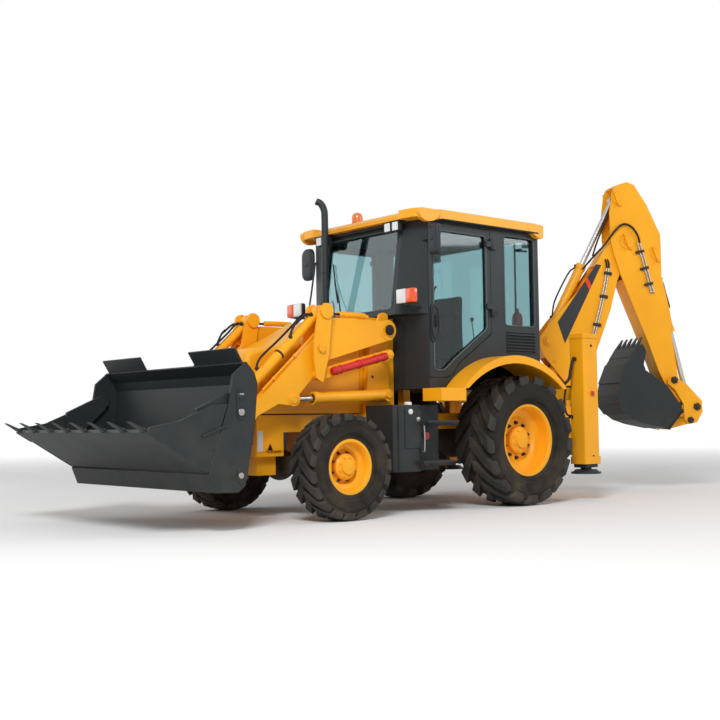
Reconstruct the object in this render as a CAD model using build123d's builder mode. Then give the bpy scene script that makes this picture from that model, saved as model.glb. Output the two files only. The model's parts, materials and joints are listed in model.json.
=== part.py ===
from build123d import *
import os
from math import atan2, cos, degrees, hypot, radians, sin

os.makedirs("parts", exist_ok=True)

# Backhoe loader. Millimetres, +X forward, +Y to the machine's left, +Z up, ground at Z = 0.

# Overall layout
rear_axle_x = -593.5
wheelbase = 2350
front_track = 1860
rear_track = 1790
front_axle_x = rear_axle_x + wheelbase

# Clearances
pin_clearance = 0.1
running_fit = 0.1
moving_gap = 6
seat_gap = 0.3

# Door and hood hinges
hinge_pin_radius = 8
hinge_knuckle_radius = 15

# Tyres and rims
front_tyre_diameter = 957
front_tyre_width = 330
front_bead_radius = 230
rear_tyre_diameter = 1330
rear_tyre_width = 490
rear_bead_radius = 352
rim_wall = 12
rim_flange = 18
hub_bore_radius = 60

# Chassis
rail_outer_y = 400
rail_width = 100
rail_low_z = 790
rail_high_z = 950
rail_rear_x = rear_axle_x - 860
nose_x = rear_axle_x + 2900
tower_inner_y = 440
tower_plate = 60

# Loader
arm_inner_y = 520
arm_width = 100
arm_outer_y = arm_inner_y + arm_width
arm_mid_y = arm_inner_y + arm_width / 2
loader_pin_radius = 35
link_plate = 30
lever_plate = 25
link_inner_y = arm_outer_y + 8
lever_inner_y = link_inner_y + link_plate + 8
bucket_half_width = 1190
bucket_plate = 20

# Cab
cab_half_width = 880
cab_floor_z = 1190
cab_roof_z = 2850
cab_wall = 60

# Backhoe
leg_front_x = rear_axle_x - 860
leg_rear_x = rear_axle_x - 1100
leg_inner_y = 926
leg_outer_y = 1130
swing_x = rear_axle_x - 1450
swing_y = -130
swing_angle = 28
boom_half_width = 100
dipper_gap = 8
dipper_plate = 18
hoe_bucket_half_width = 300


def from_axle(x, z):
    """Side-view point: x ahead of the rear axle, z above the ground."""
    return (rear_axle_x + x, z)


def side_plane(y):
    """Plane at this y, drawn in (x, z), whose extrusions run towards -Y."""
    return Plane(origin=(0, y, 0), x_dir=(1, 0, 0), z_dir=(0, -1, 0))


def top_plane(z):
    """Horizontal plane at this height."""
    return Plane.XY.offset(z)


hoe_rearward = Vector(-cos(radians(swing_angle)), sin(radians(swing_angle)), 0)
hoe_leftward = Vector(sin(radians(swing_angle)), cos(radians(swing_angle)), 0)


def hoe_plane(offset):
    """Plane of the backhoe, drawn in (distance behind the swing axis, z), offset to its left."""
    origin = Vector(swing_x, swing_y, 0) + hoe_leftward * offset
    return Plane(origin=origin, x_dir=hoe_rearward, z_dir=hoe_leftward)


def slab(points, plane, thickness, radius=0, mode=Mode.ADD):
    """Extrude a closed outline, its corners rounded by radius, from the plane."""
    with BuildSketch(plane) as outline:
        with BuildLine():
            if radius:
                FilletPolyline(*points, radius=radius, close=True)
            else:
                Polyline(*points, close=True)
        make_face()
    extrude(to_extrude=outline.sketch, amount=thickness, mode=mode)


def disc(centre, plane, radius, thickness, mode=Mode.ADD):
    """Extrude a circle from the plane."""
    with BuildSketch(plane) as outline:
        with Locations(centre):
            Circle(radius)
    extrude(to_extrude=outline.sketch, amount=thickness, mode=mode)


def block(low, high, mode=Mode.ADD):
    """Box between two corners."""
    size = [high[i] - low[i] for i in range(3)]
    middle = [(high[i] + low[i]) / 2 for i in range(3)]
    with Locations(tuple(middle)):
        Box(*size, mode=mode)


def save(piece, name):
    """Label the finished piece and write it."""
    piece.part.label = name
    export_step(piece.part, f"parts/{name}.step")


def ram_plane(plane, start, end):
    """Plane at the start pin whose normal runs along the ram, in the given working plane."""
    along = Vector(end[0] - start[0], end[1] - start[1], 0).normalized()
    direction = plane.x_dir * along.X + plane.y_dir * along.Y
    return Plane(origin=plane.from_local_coords((start[0], start[1], 0)), x_dir=plane.z_dir,
                 z_dir=direction)


def ram_barrel(plane, base, tip, length, radius, eye_radius, eye_width, pin_radius):
    """Cylinder barrel with a bored eye at its base pin."""
    axis = ram_plane(plane, base, tip)
    with BuildSketch(axis.offset(eye_radius * 0.8)) as tube:
        Circle(radius)
    extrude(to_extrude=tube.sketch, amount=length - eye_radius * 0.8)
    with BuildSketch(axis.offset(length - 60)) as gland:
        Circle(radius + 6)
    extrude(to_extrude=gland.sketch, amount=60)
    with BuildSketch(plane) as eye:
        with Locations(base):
            Circle(eye_radius)
    extrude(to_extrude=eye.sketch, amount=eye_width / 2, both=True)
    with BuildSketch(plane) as bore:
        with Locations(base):
            Circle(pin_radius + pin_clearance)
    extrude(to_extrude=bore.sketch, amount=eye_width, both=True, mode=Mode.SUBTRACT)
    with BuildSketch(axis.offset(length - 0.001 - (length - eye_radius - 30))) as stroke:
        Circle(radius - 12)
    extrude(to_extrude=stroke.sketch, amount=length, mode=Mode.SUBTRACT)


def ram_rod(plane, base, tip, retraction, barrel_radius, rod_radius, eye_radius, eye_width):
    """Chrome rod with its piston and eye, drawn out by the retraction it still has to make."""
    axis = ram_plane(plane, base, tip)
    reach = hypot(tip[0] - base[0], tip[1] - base[1])
    inside = 95 + retraction
    with BuildSketch(axis.offset(inside)) as rod:
        Circle(rod_radius)
    extrude(to_extrude=rod.sketch, amount=reach - inside)
    with BuildSketch(axis.offset(inside)) as piston:
        Circle(barrel_radius - 12 - pin_clearance)
    extrude(to_extrude=piston.sketch, amount=60)
    with BuildSketch(plane) as eye:
        with Locations(tip):
            Circle(eye_radius)
    extrude(to_extrude=eye.sketch, amount=eye_width / 2, both=True)


def ram_path(base, tip, half_width, before, beyond):
    """Corners of a straight channel along a ram, drawn in its working plane."""
    reach = hypot(tip[0] - base[0], tip[1] - base[1])
    along = ((tip[0] - base[0]) / reach, (tip[1] - base[1]) / reach)
    across = (-along[1] * half_width, along[0] * half_width)
    start = (base[0] - along[0] * before, base[1] - along[1] * before)
    end = (tip[0] + along[0] * beyond, tip[1] + along[1] * beyond)
    return [(start[0] + across[0], start[1] + across[1]), (end[0] + across[0], end[1] + across[1]),
            (end[0] - across[0], end[1] - across[1]), (start[0] - across[0], start[1] - across[1])]


# ---------------------------------------------------------------- wheels

def wheel(side, axle_x, axle_z, half_track, width, diameter, bead, hub_radius, hub_y, name):
    """Rim and tyre of one wheel, turned about the axle line."""
    def at(radius, y):
        return (y, axle_z + radius)
    plane = Plane(origin=(axle_x, 0, 0), x_dir=(0, side, 0), z_dir=(side, 0, 0))
    half = width * 0.36
    face = half_track + 30
    spin = Axis((axle_x, 0, axle_z), (0, 1, 0))
    with BuildPart() as rim:
        with BuildSketch(plane):
            with BuildLine():
                Polyline(
                    at(hub_bore_radius + pin_clearance, hub_y),
                    at(hub_radius - 10, hub_y),
                    at(hub_radius - 10, face - 34),
                    at(bead * 0.6, face - 44),
                    at(bead * 0.74, face - 4),
                    at(bead - rim_wall - 8, face + 6),
                    at(bead - rim_wall - 8, half_track - half + 20),
                    at(bead - rim_wall, half_track - half),
                    at(bead + rim_flange, half_track - half - 10),
                    at(bead + rim_flange, half_track - half),
                    at(bead, half_track - half + 6),
                    at(bead, half_track + half - 6),
                    at(bead + rim_flange, half_track + half),
                    at(bead + rim_flange, half_track + half + 10),
                    at(bead - rim_wall + 4, half_track + half + 10),
                    at(bead - rim_wall - 8, half_track + half - 16),
                    at(bead - rim_wall - 16, face + 26),
                    at(bead * 0.72, face + 16),
                    at(bead * 0.62, face - 24),
                    at(hub_radius, face - 18),
                    at(hub_radius, face + 30),
                    at(hub_radius - 16, face + 46),
                    at(hub_radius * 0.6, face + 52),
                    at(hub_radius * 0.55, face + 74),
                    at(0, face + 78),
                    at(0, face - 24),
                    at(hub_bore_radius + pin_clearance, face - 24),
                    close=True,
                )
            make_face()
        revolve(axis=spin)
    save(rim, f"{name}_rim")
    outer = diameter / 2
    with BuildPart() as tyre:
        with BuildSketch(plane):
            with BuildLine():
                Polyline(
                    at(bead, half_track - half + 6),
                    at(bead + rim_flange + 2, half_track - half + 2),
                    at(bead + (outer - bead) * 0.45, half_track - width / 2),
                    at(outer - 45, half_track - width / 2 + 8),
                    at(outer - 8, half_track - width / 2 + 45),
                    at(outer, half_track - 60),
                    at(outer, half_track + 60),
                    at(outer - 8, half_track + width / 2 - 45),
                    at(outer - 45, half_track + width / 2 - 8),
                    at(bead + (outer - bead) * 0.45, half_track + width / 2),
                    at(bead + rim_flange + 2, half_track + half - 2),
                    at(bead, half_track + half - 6),
                    close=True,
                )
            make_face()
        revolve(axis=spin)
    save(tyre, f"{name}_tyre")


front_axle_z = front_tyre_diameter / 2
rear_axle_z = rear_tyre_diameter / 2
front_hub_y = 800
rear_hub_y = 690
for side, side_name in ((1, "left"), (-1, "right")):
    wheel(side, front_axle_x, front_axle_z, front_track / 2, front_tyre_width, front_tyre_diameter,
          front_bead_radius, 118, front_hub_y, f"front_{side_name}")
    wheel(side, rear_axle_x, rear_axle_z, rear_track / 2, rear_tyre_width, rear_tyre_diameter,
          rear_bead_radius, 140, rear_hub_y, f"rear_{side_name}")

# ---------------------------------------------------------------- axles

kingpin_y = 720
yoke_half_x = 60
yoke_low = 110
yoke_high = 135
trunnion_end = 120
axle_tube_radius = 100
with BuildPart() as axles:
    block((front_axle_x - 85, -560, front_axle_z - 80), (front_axle_x + 85, 560, front_axle_z + 80))
    with Locations((front_axle_x, 0, front_axle_z)):
        Sphere(150)
        with Locations(Location((0, 0, 0), (0, 90, 0))):
            for offset in (-trunnion_end, trunnion_end):
                with Locations((0, 0, offset)):
                    Cylinder(40 + pin_clearance, 100, mode=Mode.SUBTRACT)
    for side in (1, -1):
        for low, high in ((yoke_low, yoke_high), (-yoke_high, -yoke_low)):
            with Locations((front_axle_x, side * 650, front_axle_z + (low + high) / 2)):
                Box(2 * yoke_half_x, 220, high - low)
        with Locations((front_axle_x, side * 555, front_axle_z)):
            Box(2 * yoke_half_x, 30, 2 * yoke_high)
        with Locations((front_axle_x, side * kingpin_y, front_axle_z)):
            Cylinder(25, 2 * yoke_high)
            Cylinder(40, 2 * (yoke_low - moving_gap - 6), mode=Mode.SUBTRACT)
    with Locations(Location((rear_axle_x, 0, rear_axle_z), (90, 0, 0))):
        Cylinder(axle_tube_radius, 2 * (rear_hub_y - 1))
        Cylinder(hub_bore_radius, 2 * (rear_hub_y + 100))
    with Locations((rear_axle_x, 0, rear_axle_z)):
        Sphere(190)
    for side in (1, -1):
        block((rear_axle_x - 90, side * 350 - 45, rear_axle_z),
              (rear_axle_x + 90, side * 350 + 45, rail_low_z))
save(axles, "axles")

for side, side_name in ((1, "left"), (-1, "right")):
    with BuildPart() as knuckle:
        with Locations((front_axle_x, side * kingpin_y, front_axle_z)):
            Cylinder(55, 2 * (yoke_low - moving_gap))
        with BuildSketch(Plane(origin=(front_axle_x, side * kingpin_y, front_axle_z), z_dir=(0, side, 0))):
            Circle(75)
        extrude(amount=front_hub_y - kingpin_y - seat_gap)
        with BuildSketch(Plane(origin=(front_axle_x, side * kingpin_y, front_axle_z), z_dir=(0, side, 0))):
            Circle(hub_bore_radius)
        extrude(amount=front_hub_y - kingpin_y + 100)
        with Locations((front_axle_x, side * kingpin_y, front_axle_z)):
            Cylinder(25 + pin_clearance, 2 * yoke_high, mode=Mode.SUBTRACT)
            Cylinder(45, 2 * (yoke_low - moving_gap - 8))
    save(knuckle, f"{side_name}_knuckle")

# ---------------------------------------------------------------- loader pins, side view

arm_pivot = from_axle(1490, 1760)
lever_pivot = from_axle(2370, 1550)
lever_top = (lever_pivot[0] - 60, lever_pivot[1] + 350)
lever_bottom = (lever_pivot[0] + 15, lever_pivot[1] - 240)
link_pivot = (arm_pivot[0] + 15, arm_pivot[1] - 240)
bucket_pivot = from_axle(3300, 720)
tilt_pin = (bucket_pivot[0] - 60, bucket_pivot[1] + 350)
lift_base = from_axle(1480, 1130)
lift_pin = from_axle(2640, 1090)
cross_tube = from_axle(3210, 880)

# ---------------------------------------------------------------- main frame

with BuildPart() as main_frame:
    for side in (1, -1):
        low_y = min(side * rail_outer_y, side * (rail_outer_y - rail_width))
        block((rail_rear_x, low_y, rail_low_z), (nose_x - 5, low_y + rail_width, rail_high_z))
        tower_y = max(side * tower_inner_y, side * (tower_inner_y + tower_plate))
        slab([from_axle(1380, rail_low_z), from_axle(1700, rail_low_z), from_axle(1640, 1500),
              from_axle(1590, 1850), from_axle(1390, 1880)], side_plane(tower_y), tower_plate)
        block((rear_axle_x + 1390, min(side * 395, side * 445), rail_low_z),
              (rear_axle_x + 1690, max(side * 395, side * 445), rail_high_z))
        for pin, radius, reach in ((arm_pivot, 40, arm_outer_y + 20),
                                   (link_pivot, 30, link_inner_y + link_plate),
                                   (lift_base, 30, arm_outer_y)):
            disc(pin, side_plane(max(side * tower_inner_y, side * reach)), radius, reach - tower_inner_y)
    block((rear_axle_x + 2600, -rail_outer_y, 572), (nose_x, rail_outer_y, 900))
    block((rear_axle_x + 2640, -330, 400), (nose_x - 50, 330, 573))
    block((rear_axle_x + 2130, -320, rail_low_z), (rear_axle_x + 2610, 320, 850))
    for side in (1, -1):
        with Locations((front_axle_x + side * 180, 0, 620)):
            Box(40, 220, 380)
        with Locations(Location((front_axle_x + side * 140, 0, front_axle_z), (0, 90, 0))):
            Cylinder(40, 120)
    for x in (-300, 700, 1150):
        block((rear_axle_x + x, -320, rail_low_z), (rear_axle_x + x + 80, 320, 850))
    for side in (1, -1):
        for x in (-350, 1000):
            block((rear_axle_x + x, side * 350 - 40, rail_high_z),
                  (rear_axle_x + x + 90, side * 350 + 40, cab_floor_z))
    for low, high in ((480, 640), (1080, 1240)):
        block((leg_rear_x, -leg_inner_y, low), (leg_rear_x + 160, leg_inner_y, high))
    for side in (1, -1):
        block((leg_rear_x + 100, side * 350 - 50, 480), (rail_rear_x + 30, side * 350 + 50, 1240))
save(main_frame, "main_frame")

# ---------------------------------------------------------------- stabilizers

leg_wall = 12
leg_play = 6
leg_corner = 26
pad_radius = 160


def leg_tube(side, grow, low, high, radius, mode=Mode.ADD):
    """Upright rounded box on the leg's centre line, grown outward all round."""
    with BuildSketch(top_plane(low)) as section:
        with Locations(((leg_front_x + leg_rear_x) / 2, side * (leg_inner_y + leg_outer_y) / 2)):
            RectangleRounded(leg_front_x - leg_rear_x + 2 * grow, leg_outer_y - leg_inner_y + 2 * grow,
                             radius)
    extrude(to_extrude=section.sketch, amount=high - low, mode=mode)


with BuildPart() as leg_housings:
    for side in (1, -1):
        leg_tube(side, 0, 400, 1790, leg_corner)
        leg_tube(side, 12, 390, 470, leg_corner + 8)
        leg_tube(side, 8, 1740, 1760, leg_corner + 4)
        leg_tube(side, -leg_wall, 380, 1778, leg_corner - leg_wall, Mode.SUBTRACT)
save(leg_housings, "stabilizer_housings")

for side, side_name in ((1, "left"), (-1, "right")):
    middle = ((leg_front_x + leg_rear_x) / 2, side * (leg_inner_y + leg_outer_y) / 2)
    with BuildPart() as leg:
        leg_tube(side, -leg_wall - leg_play, 352, 1700, 8)
        leg_tube(side, -leg_wall - running_fit, 1600, 1700, leg_corner - leg_wall - running_fit)
        with BuildSketch(top_plane(285)) as pad:
            with Locations(middle):
                Circle(pad_radius)
        extrude(amount=20)
        extrude(to_extrude=pad.sketch, amount=45, taper=45)
        with BuildSketch(top_plane(320)):
            with Locations(middle):
                Circle(60)
        extrude(amount=40)
    save(leg, f"{side_name}_stabilizer")

# ---------------------------------------------------------------- engine and hood

with BuildPart() as engine_block:
    block((rear_axle_x + 1900, -260, 850), (rear_axle_x + 2580, 260, 1450))
save(engine_block, "engine_block")

hood_half_width = 430
hood_wall = 8
hood_rear_x = rear_axle_x + 1700
hood_front_x = rear_axle_x + 3050
hood_rear_z = 1900
hood_hinge = (hood_rear_x - 15, hood_rear_z + 16)
hood_hinge_ys = (-280, 220)
hood_corner = 60
hood_low_z = 960
hood_top = [(hood_rear_x, hood_rear_z), (rear_axle_x + 1960, 1872), (rear_axle_x + 2230, 1730),
            (rear_axle_x + 2480, 1612), (rear_axle_x + 2950, 1552), (rear_axle_x + 3020, 1500),
            (hood_front_x, 1390)]


def hood_outline(inset, rear_x, low_z):
    """Corners of the hood seen from the side, drawn in by the inset."""
    top = [(min(x, hood_front_x - inset), z - inset) for x, z in hood_top[1:]]
    return [(rear_x, low_z), (rear_x, hood_rear_z - inset)] + top + [(hood_front_x - inset, low_z)]


with BuildPart() as hood_outer:
    slab(hood_outline(0, hood_rear_x, hood_low_z), side_plane(hood_half_width), 2 * hood_half_width)
    side_edges = hood_outer.edges().filter_by(Plane.XZ).filter_by_position(Axis.Z, 1440, 1950)
    fillet(side_edges, hood_corner)
with BuildPart() as hood_inner:
    slab(hood_outline(hood_wall, hood_rear_x - 10, hood_low_z - 20),
         side_plane(hood_half_width - hood_wall),
         2 * (hood_half_width - hood_wall))
    side_edges = hood_inner.edges().filter_by(Plane.XZ).filter_by_position(Axis.Z, 1432, 1950)
    fillet(side_edges, hood_corner - hood_wall)
with BuildPart() as hood:
    add(hood_outer.part)
    add(hood_inner.part, mode=Mode.SUBTRACT)
    for y in hood_hinge_ys:
        block((hood_hinge[0], y + 2, hood_rear_z + 1), (hood_hinge[0] + 80, y + 56, hood_rear_z + 22))
        disc(hood_hinge, side_plane(y + 56), hinge_knuckle_radius, 54)
        disc(hood_hinge, side_plane(y + 57), hinge_pin_radius + pin_clearance, 56, Mode.SUBTRACT)
        block((hood_hinge[0] + 20, y + 2, hood_rear_z - 6), (hood_hinge[0] + 80, y + 56, hood_rear_z + 5))
save(hood, "hood")

with BuildPart() as cowl:
    block((rear_axle_x + 1255, -hood_half_width, rail_high_z),
          (hood_rear_x - moving_gap, hood_half_width, hood_rear_z - 5))
    for y in hood_hinge_ys:
        block((hood_hinge[0] - 30, y - 22, hood_rear_z - 10), (hood_hinge[0] + 9, y, hood_hinge[1] + 12))
        disc(hood_hinge, side_plane(y + 60), hinge_pin_radius, 70)
save(cowl, "engine_cowl")

stack_x = rear_axle_x + 1500
stack_y = -330
stack_low_z = hood_rear_z - 5
with BuildPart() as exhaust_stack:
    with BuildLine() as stack_path:
        straight = Line((stack_x, stack_y, stack_low_z), (stack_x, stack_y, 3030))
        TangentArc(straight @ 1, (stack_x - 45, stack_y, 3155), tangent=straight % 1)
    with BuildSketch(top_plane(stack_low_z)):
        with Locations((stack_x, stack_y)):
            Circle(38)
            Circle(34, mode=Mode.SUBTRACT)
    sweep(path=stack_path.wire())
    with BuildSketch(top_plane(stack_low_z)):
        with Locations((stack_x, stack_y)):
            Circle(56)
            Circle(36, mode=Mode.SUBTRACT)
    extrude(amount=24)
save(exhaust_stack, "exhaust_stack")

# ---------------------------------------------------------------- cab

cab_front_x = rear_axle_x + 1250
cab_rear_x = rear_axle_x - 440
screen_foot = from_axle(1385, 1920)
screen_head = from_axle(1255, cab_roof_z)
screen_half_width = 600
sill_low_z = 1066
arch_points = (from_axle(980, 1190), from_axle(230, 1522), from_axle(-560, 1190))
post_x = rear_axle_x + 300


def arch_region(y_outer, width, grow, mode):
    """Solid under the wheel arch, grown outward, for cutting or for the fender skin."""
    first, crown, last = arch_points
    with BuildSketch(side_plane(y_outer)) as region:
        with BuildLine():
            arch = ThreePointArc((first[0] + grow, first[1]), (crown[0], crown[1] + grow),
                                 (last[0] - grow, last[1]))
            Polyline(arch @ 1, (last[0] - grow, sill_low_z), (first[0] + grow, sill_low_z), arch @ 0)
        make_face()
    extrude(to_extrude=region.sketch, amount=width, mode=mode)


door_outline = [from_axle(306, 2820), from_axle(1184, 2820), from_axle(1184, 1300), from_axle(960, 1300),
                from_axle(870, 1340), from_axle(790, 1440), from_axle(306, 1760)]
door_opening = [from_axle(300, 2826), from_axle(1190, 2826), from_axle(1190, 1294), from_axle(957, 1294),
                from_axle(865, 1334), from_axle(785, 1432), from_axle(300, 1752)]
door_thickness = 50
hinge_levels = (1980, 2620)
door_hinge_x = rear_axle_x + 292
door_hinge_y = cab_half_width + 18


def door_hinge_pins(side):
    """Brackets on the door post, each with the pin that stands in a door knuckle."""
    for z in hinge_levels:
        block((door_hinge_x - 60, min(side * (cab_half_width - 5), side * (door_hinge_y + 15)), z),
              (door_hinge_x + 12, max(side * (cab_half_width - 5), side * (door_hinge_y + 15)), z + 22))
        with Locations((door_hinge_x, side * door_hinge_y, z + 50)):
            Cylinder(hinge_pin_radius, 62)


def door_hinge_knuckles(side):
    """Knuckles that turn on the pins, joined to the door's outer face."""
    for z in hinge_levels:
        with Locations((door_hinge_x, side * door_hinge_y, z + 52)):
            Cylinder(hinge_knuckle_radius, 56)
        block((door_hinge_x, min(side * (cab_half_width - 2), side * (door_hinge_y + 10)), z + 24),
              (door_hinge_x + 90, max(side * (cab_half_width - 2), side * (door_hinge_y + 10)), z + 80))
        block((door_hinge_x - 20, min(side * (cab_half_width - 10), side * (cab_half_width + 3)), z + 20),
              (door_hinge_x + 13, max(side * (cab_half_width - 10), side * (cab_half_width + 3)), z + 84),
              mode=Mode.SUBTRACT)
        with Locations((door_hinge_x, side * door_hinge_y, z + 52)):
            Cylinder(hinge_pin_radius + pin_clearance, 60, mode=Mode.SUBTRACT)


def cab_section(z, front_x, inset):
    """Plan of the cab at this height, its front corners cut off at an angle."""
    half = cab_half_width - inset
    corner_x = rear_axle_x + 1190 - inset * 0.5
    corner_y = screen_half_width - inset * 0.5
    with BuildSketch(top_plane(z), mode=Mode.PRIVATE) as section:
        with BuildLine():
            Polyline((cab_rear_x + inset, -half), (corner_x, -half), (front_x - inset, -corner_y),
                     (front_x - inset, corner_y), (corner_x, half), (cab_rear_x + inset, half), close=True)
        make_face()
    return section.sketch


def screen_x(z):
    """Front face of the raked windscreen frame at this height."""
    share = (z - screen_foot[1]) / (screen_head[1] - screen_foot[1])
    return screen_foot[0] + share * (screen_head[0] - screen_foot[0])


def window_cut(corners, plane, thickness, radius):
    """Rounded opening through a wall."""
    slab(corners, plane, thickness, radius, Mode.SUBTRACT)


front_plane = Plane(origin=(cab_front_x - cab_wall - 40, 0, 0), x_dir=(0, 1, 0), z_dir=(1, 0, 0))
rear_plane = Plane(origin=(cab_rear_x - 10, 0, 0), x_dir=(0, 1, 0), z_dir=(1, 0, 0))
screen_low_z = 1975
screen_high_z = 2785
screen_corners = [(-545, screen_low_z), (545, screen_low_z), (545, screen_high_z), (-545, screen_high_z)]
rear_corners = [(-800, 1600), (800, 1600), (800, 2790), (-800, 2790)]
quarter_corners = [from_axle(-370, 2785), from_axle(95, 2785), from_axle(95, 1850), from_axle(-370, 1850)]
window_corner = 45
with BuildPart() as cab_frame:
    foot_z = screen_foot[1]
    extrude(to_extrude=cab_section(cab_floor_z, cab_front_x, 0), amount=foot_z - cab_floor_z)
    loft([cab_section(foot_z, screen_foot[0], 0), cab_section(cab_roof_z, screen_head[0], 0)], ruled=True)
    extrude(to_extrude=cab_section(cab_floor_z + 40, cab_front_x, cab_wall),
            amount=foot_z - cab_floor_z - 10,
            mode=Mode.SUBTRACT)
    loft([cab_section(foot_z + 30, screen_foot[0] - 5, cab_wall),
          cab_section(cab_roof_z + 10, screen_head[0] - 1, cab_wall)], ruled=True, mode=Mode.SUBTRACT)
    slab(door_opening, side_plane(cab_half_width + 10), 2 * cab_half_width + 20, mode=Mode.SUBTRACT)
    window_cut(quarter_corners, side_plane(cab_half_width + 10), 2 * cab_half_width + 20, window_corner)
    window_cut(screen_corners, front_plane, 400, window_corner)
    window_cut(rear_corners, rear_plane, cab_wall + 20, window_corner)
    for y_outer, width in ((cab_half_width + 20, 300), (-cab_half_width + 280, 300)):
        arch_region(y_outer, width, seat_gap, Mode.SUBTRACT)
    for side in (1, -1):
        door_hinge_pins(side)
save(cab_frame, "cab_frame")

roof_side_z = 2945
roof_top_z = 3015
with BuildPart() as cab_roof:
    slab([from_axle(-470, cab_roof_z), from_axle(1375, cab_roof_z), from_axle(1385, 2885),
          from_axle(1290, 2935), from_axle(1150, roof_side_z), from_axle(-360, roof_side_z),
          from_axle(-470, 2890)], side_plane(940), 1880)
    with BuildSketch(top_plane(cab_roof_z)):
        with BuildLine():
            Polyline(from_axle(-470, -860), from_axle(-390, -940), from_axle(1060, -940),
                     from_axle(1385, -660),
                     from_axle(1385, 660), from_axle(1060, 940), from_axle(-390, 940), from_axle(-470, 860),
                     close=True)
        make_face()
    extrude(amount=200, mode=Mode.INTERSECT)
    with BuildSketch(top_plane(roof_side_z - 1)) as raised:
        with Locations((rear_axle_x + 320, 0)):
            RectangleRounded(1280, 880, 60)
    extrude(to_extrude=raised.sketch, amount=roof_top_z - roof_side_z + 1, taper=12)
save(cab_roof, "cab_roof")

glass_depth = 30
glass_thickness = 6
rake = [(screen_x(z) - glass_depth - depth, z) for z, depth in
        ((screen_low_z - 5, glass_thickness), (screen_low_z - 5, 0), (screen_high_z + 5, 0),
         (screen_high_z + 5, glass_thickness))]
with BuildPart() as windscreen:
    slab(screen_corners, front_plane, 400, window_corner)
    slab(rake, side_plane(600), 1200, mode=Mode.INTERSECT)
with BuildPart() as cab_windows:
    add(windscreen.part)
    slab(rear_corners, rear_plane.offset(10 + glass_depth), glass_thickness, window_corner)
    for y in (cab_half_width - glass_depth, -cab_half_width + glass_depth + glass_thickness):
        slab(quarter_corners, side_plane(y), glass_thickness, window_corner)
save(cab_windows, "cab_windows")

door_window = [from_axle(370, 2750), from_axle(1120, 2750), from_axle(1120, 1370), from_axle(990, 1370),
               from_axle(840, 1490), from_axle(370, 1800)]
door_window_corner = 30
for side, side_name in ((1, "left"), (-1, "right")):
    outer = max(side * cab_half_width, side * (cab_half_width - door_thickness))
    with BuildPart() as door:
        slab(door_outline, side_plane(outer), door_thickness)
        slab(door_window, side_plane(outer + 10), door_thickness + 20, door_window_corner, Mode.SUBTRACT)
        door_hinge_knuckles(side)
    save(door, f"{side_name}_door")
    middle = outer - door_thickness / 2 + 3
    with BuildPart() as glass:
        slab(door_window, side_plane(middle), glass_thickness, door_window_corner)
    save(glass, f"{side_name}_door_glass")

fender_outer_y = 1140
fender_inner_y = 605
fender_skin = 25
fender_lip = 80


def fender_band(y_outer, width, drop):
    """Strip of the wheel arch between its crown line and a line this far below."""
    first, crown, last = arch_points
    with BuildSketch(side_plane(y_outer)) as band:
        with BuildLine():
            top = ThreePointArc(first, crown, last)
            under = ThreePointArc((last[0] + drop * 0.8, last[1] - 2), (crown[0], crown[1] - drop),
                                  (first[0] - drop * 0.8, first[1] - 2))
            Line(top @ 1, under @ 0)
            Line(under @ 1, top @ 0)
        make_face()
    extrude(to_extrude=band.sketch, amount=width)


with BuildPart() as fenders:
    for side in (1, -1):
        fender_band(max(side * fender_outer_y, side * fender_inner_y), fender_outer_y - fender_inner_y,
                    fender_skin)
        lip_inner = fender_outer_y - 22
        fender_band(max(side * fender_outer_y, side * lip_inner), 22, fender_lip)
        block((rear_axle_x + 955, min(side * 885, side * fender_outer_y), sill_low_z),
              (rear_axle_x + 1290, max(side * 885, side * fender_outer_y), 1189))
save(fenders, "rear_fenders")

with BuildPart() as dashboard:
    block((cab_front_x - cab_wall - 260, -350, cab_floor_z + 40), (cab_front_x - cab_wall, 350, 1900))
save(dashboard, "dashboard")

wheel_centre = (cab_front_x - cab_wall - 330, 0, 1960)
wheel_tilt = 35
with BuildPart() as steering_wheel:
    with Locations(Location(wheel_centre, (0, -wheel_tilt, 0))):
        Torus(190, 14)
        Box(380, 30, 16)
        with Locations((0, 0, -80)):
            Cylinder(22, 190)
        Cylinder(40, 30)
    block((cab_front_x - cab_wall - 260 - seat_gap, -100, 1500), (cab_front_x, 100, 1905),
          mode=Mode.SUBTRACT)
save(steering_wheel, "steering_wheel")

seat_x = rear_axle_x + 330
with BuildPart() as seat_base:
    with BuildSketch(top_plane(cab_floor_z + 40)):
        with Locations((seat_x, 0)):
            Circle(90)
    extrude(amount=300)
    block((seat_x - 330, -200, 1528), (seat_x + 200, 200, 1560))
save(seat_base, "seat_base")
with BuildPart() as seat_cushion:
    block((seat_x - 230, -240, 1560.3), (seat_x + 250, 240, 1660))
save(seat_cushion, "seat_cushion")
with BuildPart() as seat_back:
    block((seat_x - 330, -230, 1560.3), (seat_x - 230.3, 230, 2250))
save(seat_back, "seat_back")

# ---------------------------------------------------------------- side boxes and steps

with BuildPart() as side_boxes:
    for side in (1, -1):
        with BuildSketch(top_plane(400)) as lower:
            with BuildLine():
                Polyline((rear_axle_x + 989, side * 401), (rear_axle_x + 1700, side * 401),
                         (rear_axle_x + 1700, side * 900), (rear_axle_x + 1640, side * 960),
                         (rear_axle_x + 1400, side * 960), (rear_axle_x + 1400, side * 780),
                         (rear_axle_x + 989, side * 780), close=True)
            make_face()
        extrude(to_extrude=lower.sketch, amount=1030 - 400)
        block((rear_axle_x + 1400, min(side * 940, side * 968), 620),
              (rear_axle_x + 1600, max(side * 940, side * 968), 990))
        for x, z, length in ((1210, 850, 400), (1270, 470, 400)):
            block((rear_axle_x + x - length / 2, min(side * 770, side * 1080), z),
                  (rear_axle_x + x + length / 2, max(side * 770, side * 1080), z + 30))
    block((rear_axle_x + 900, -519.9, rail_low_z), (rear_axle_x + 1800, 519.9, 1040), mode=Mode.SUBTRACT)
save(side_boxes, "side_boxes")

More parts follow.
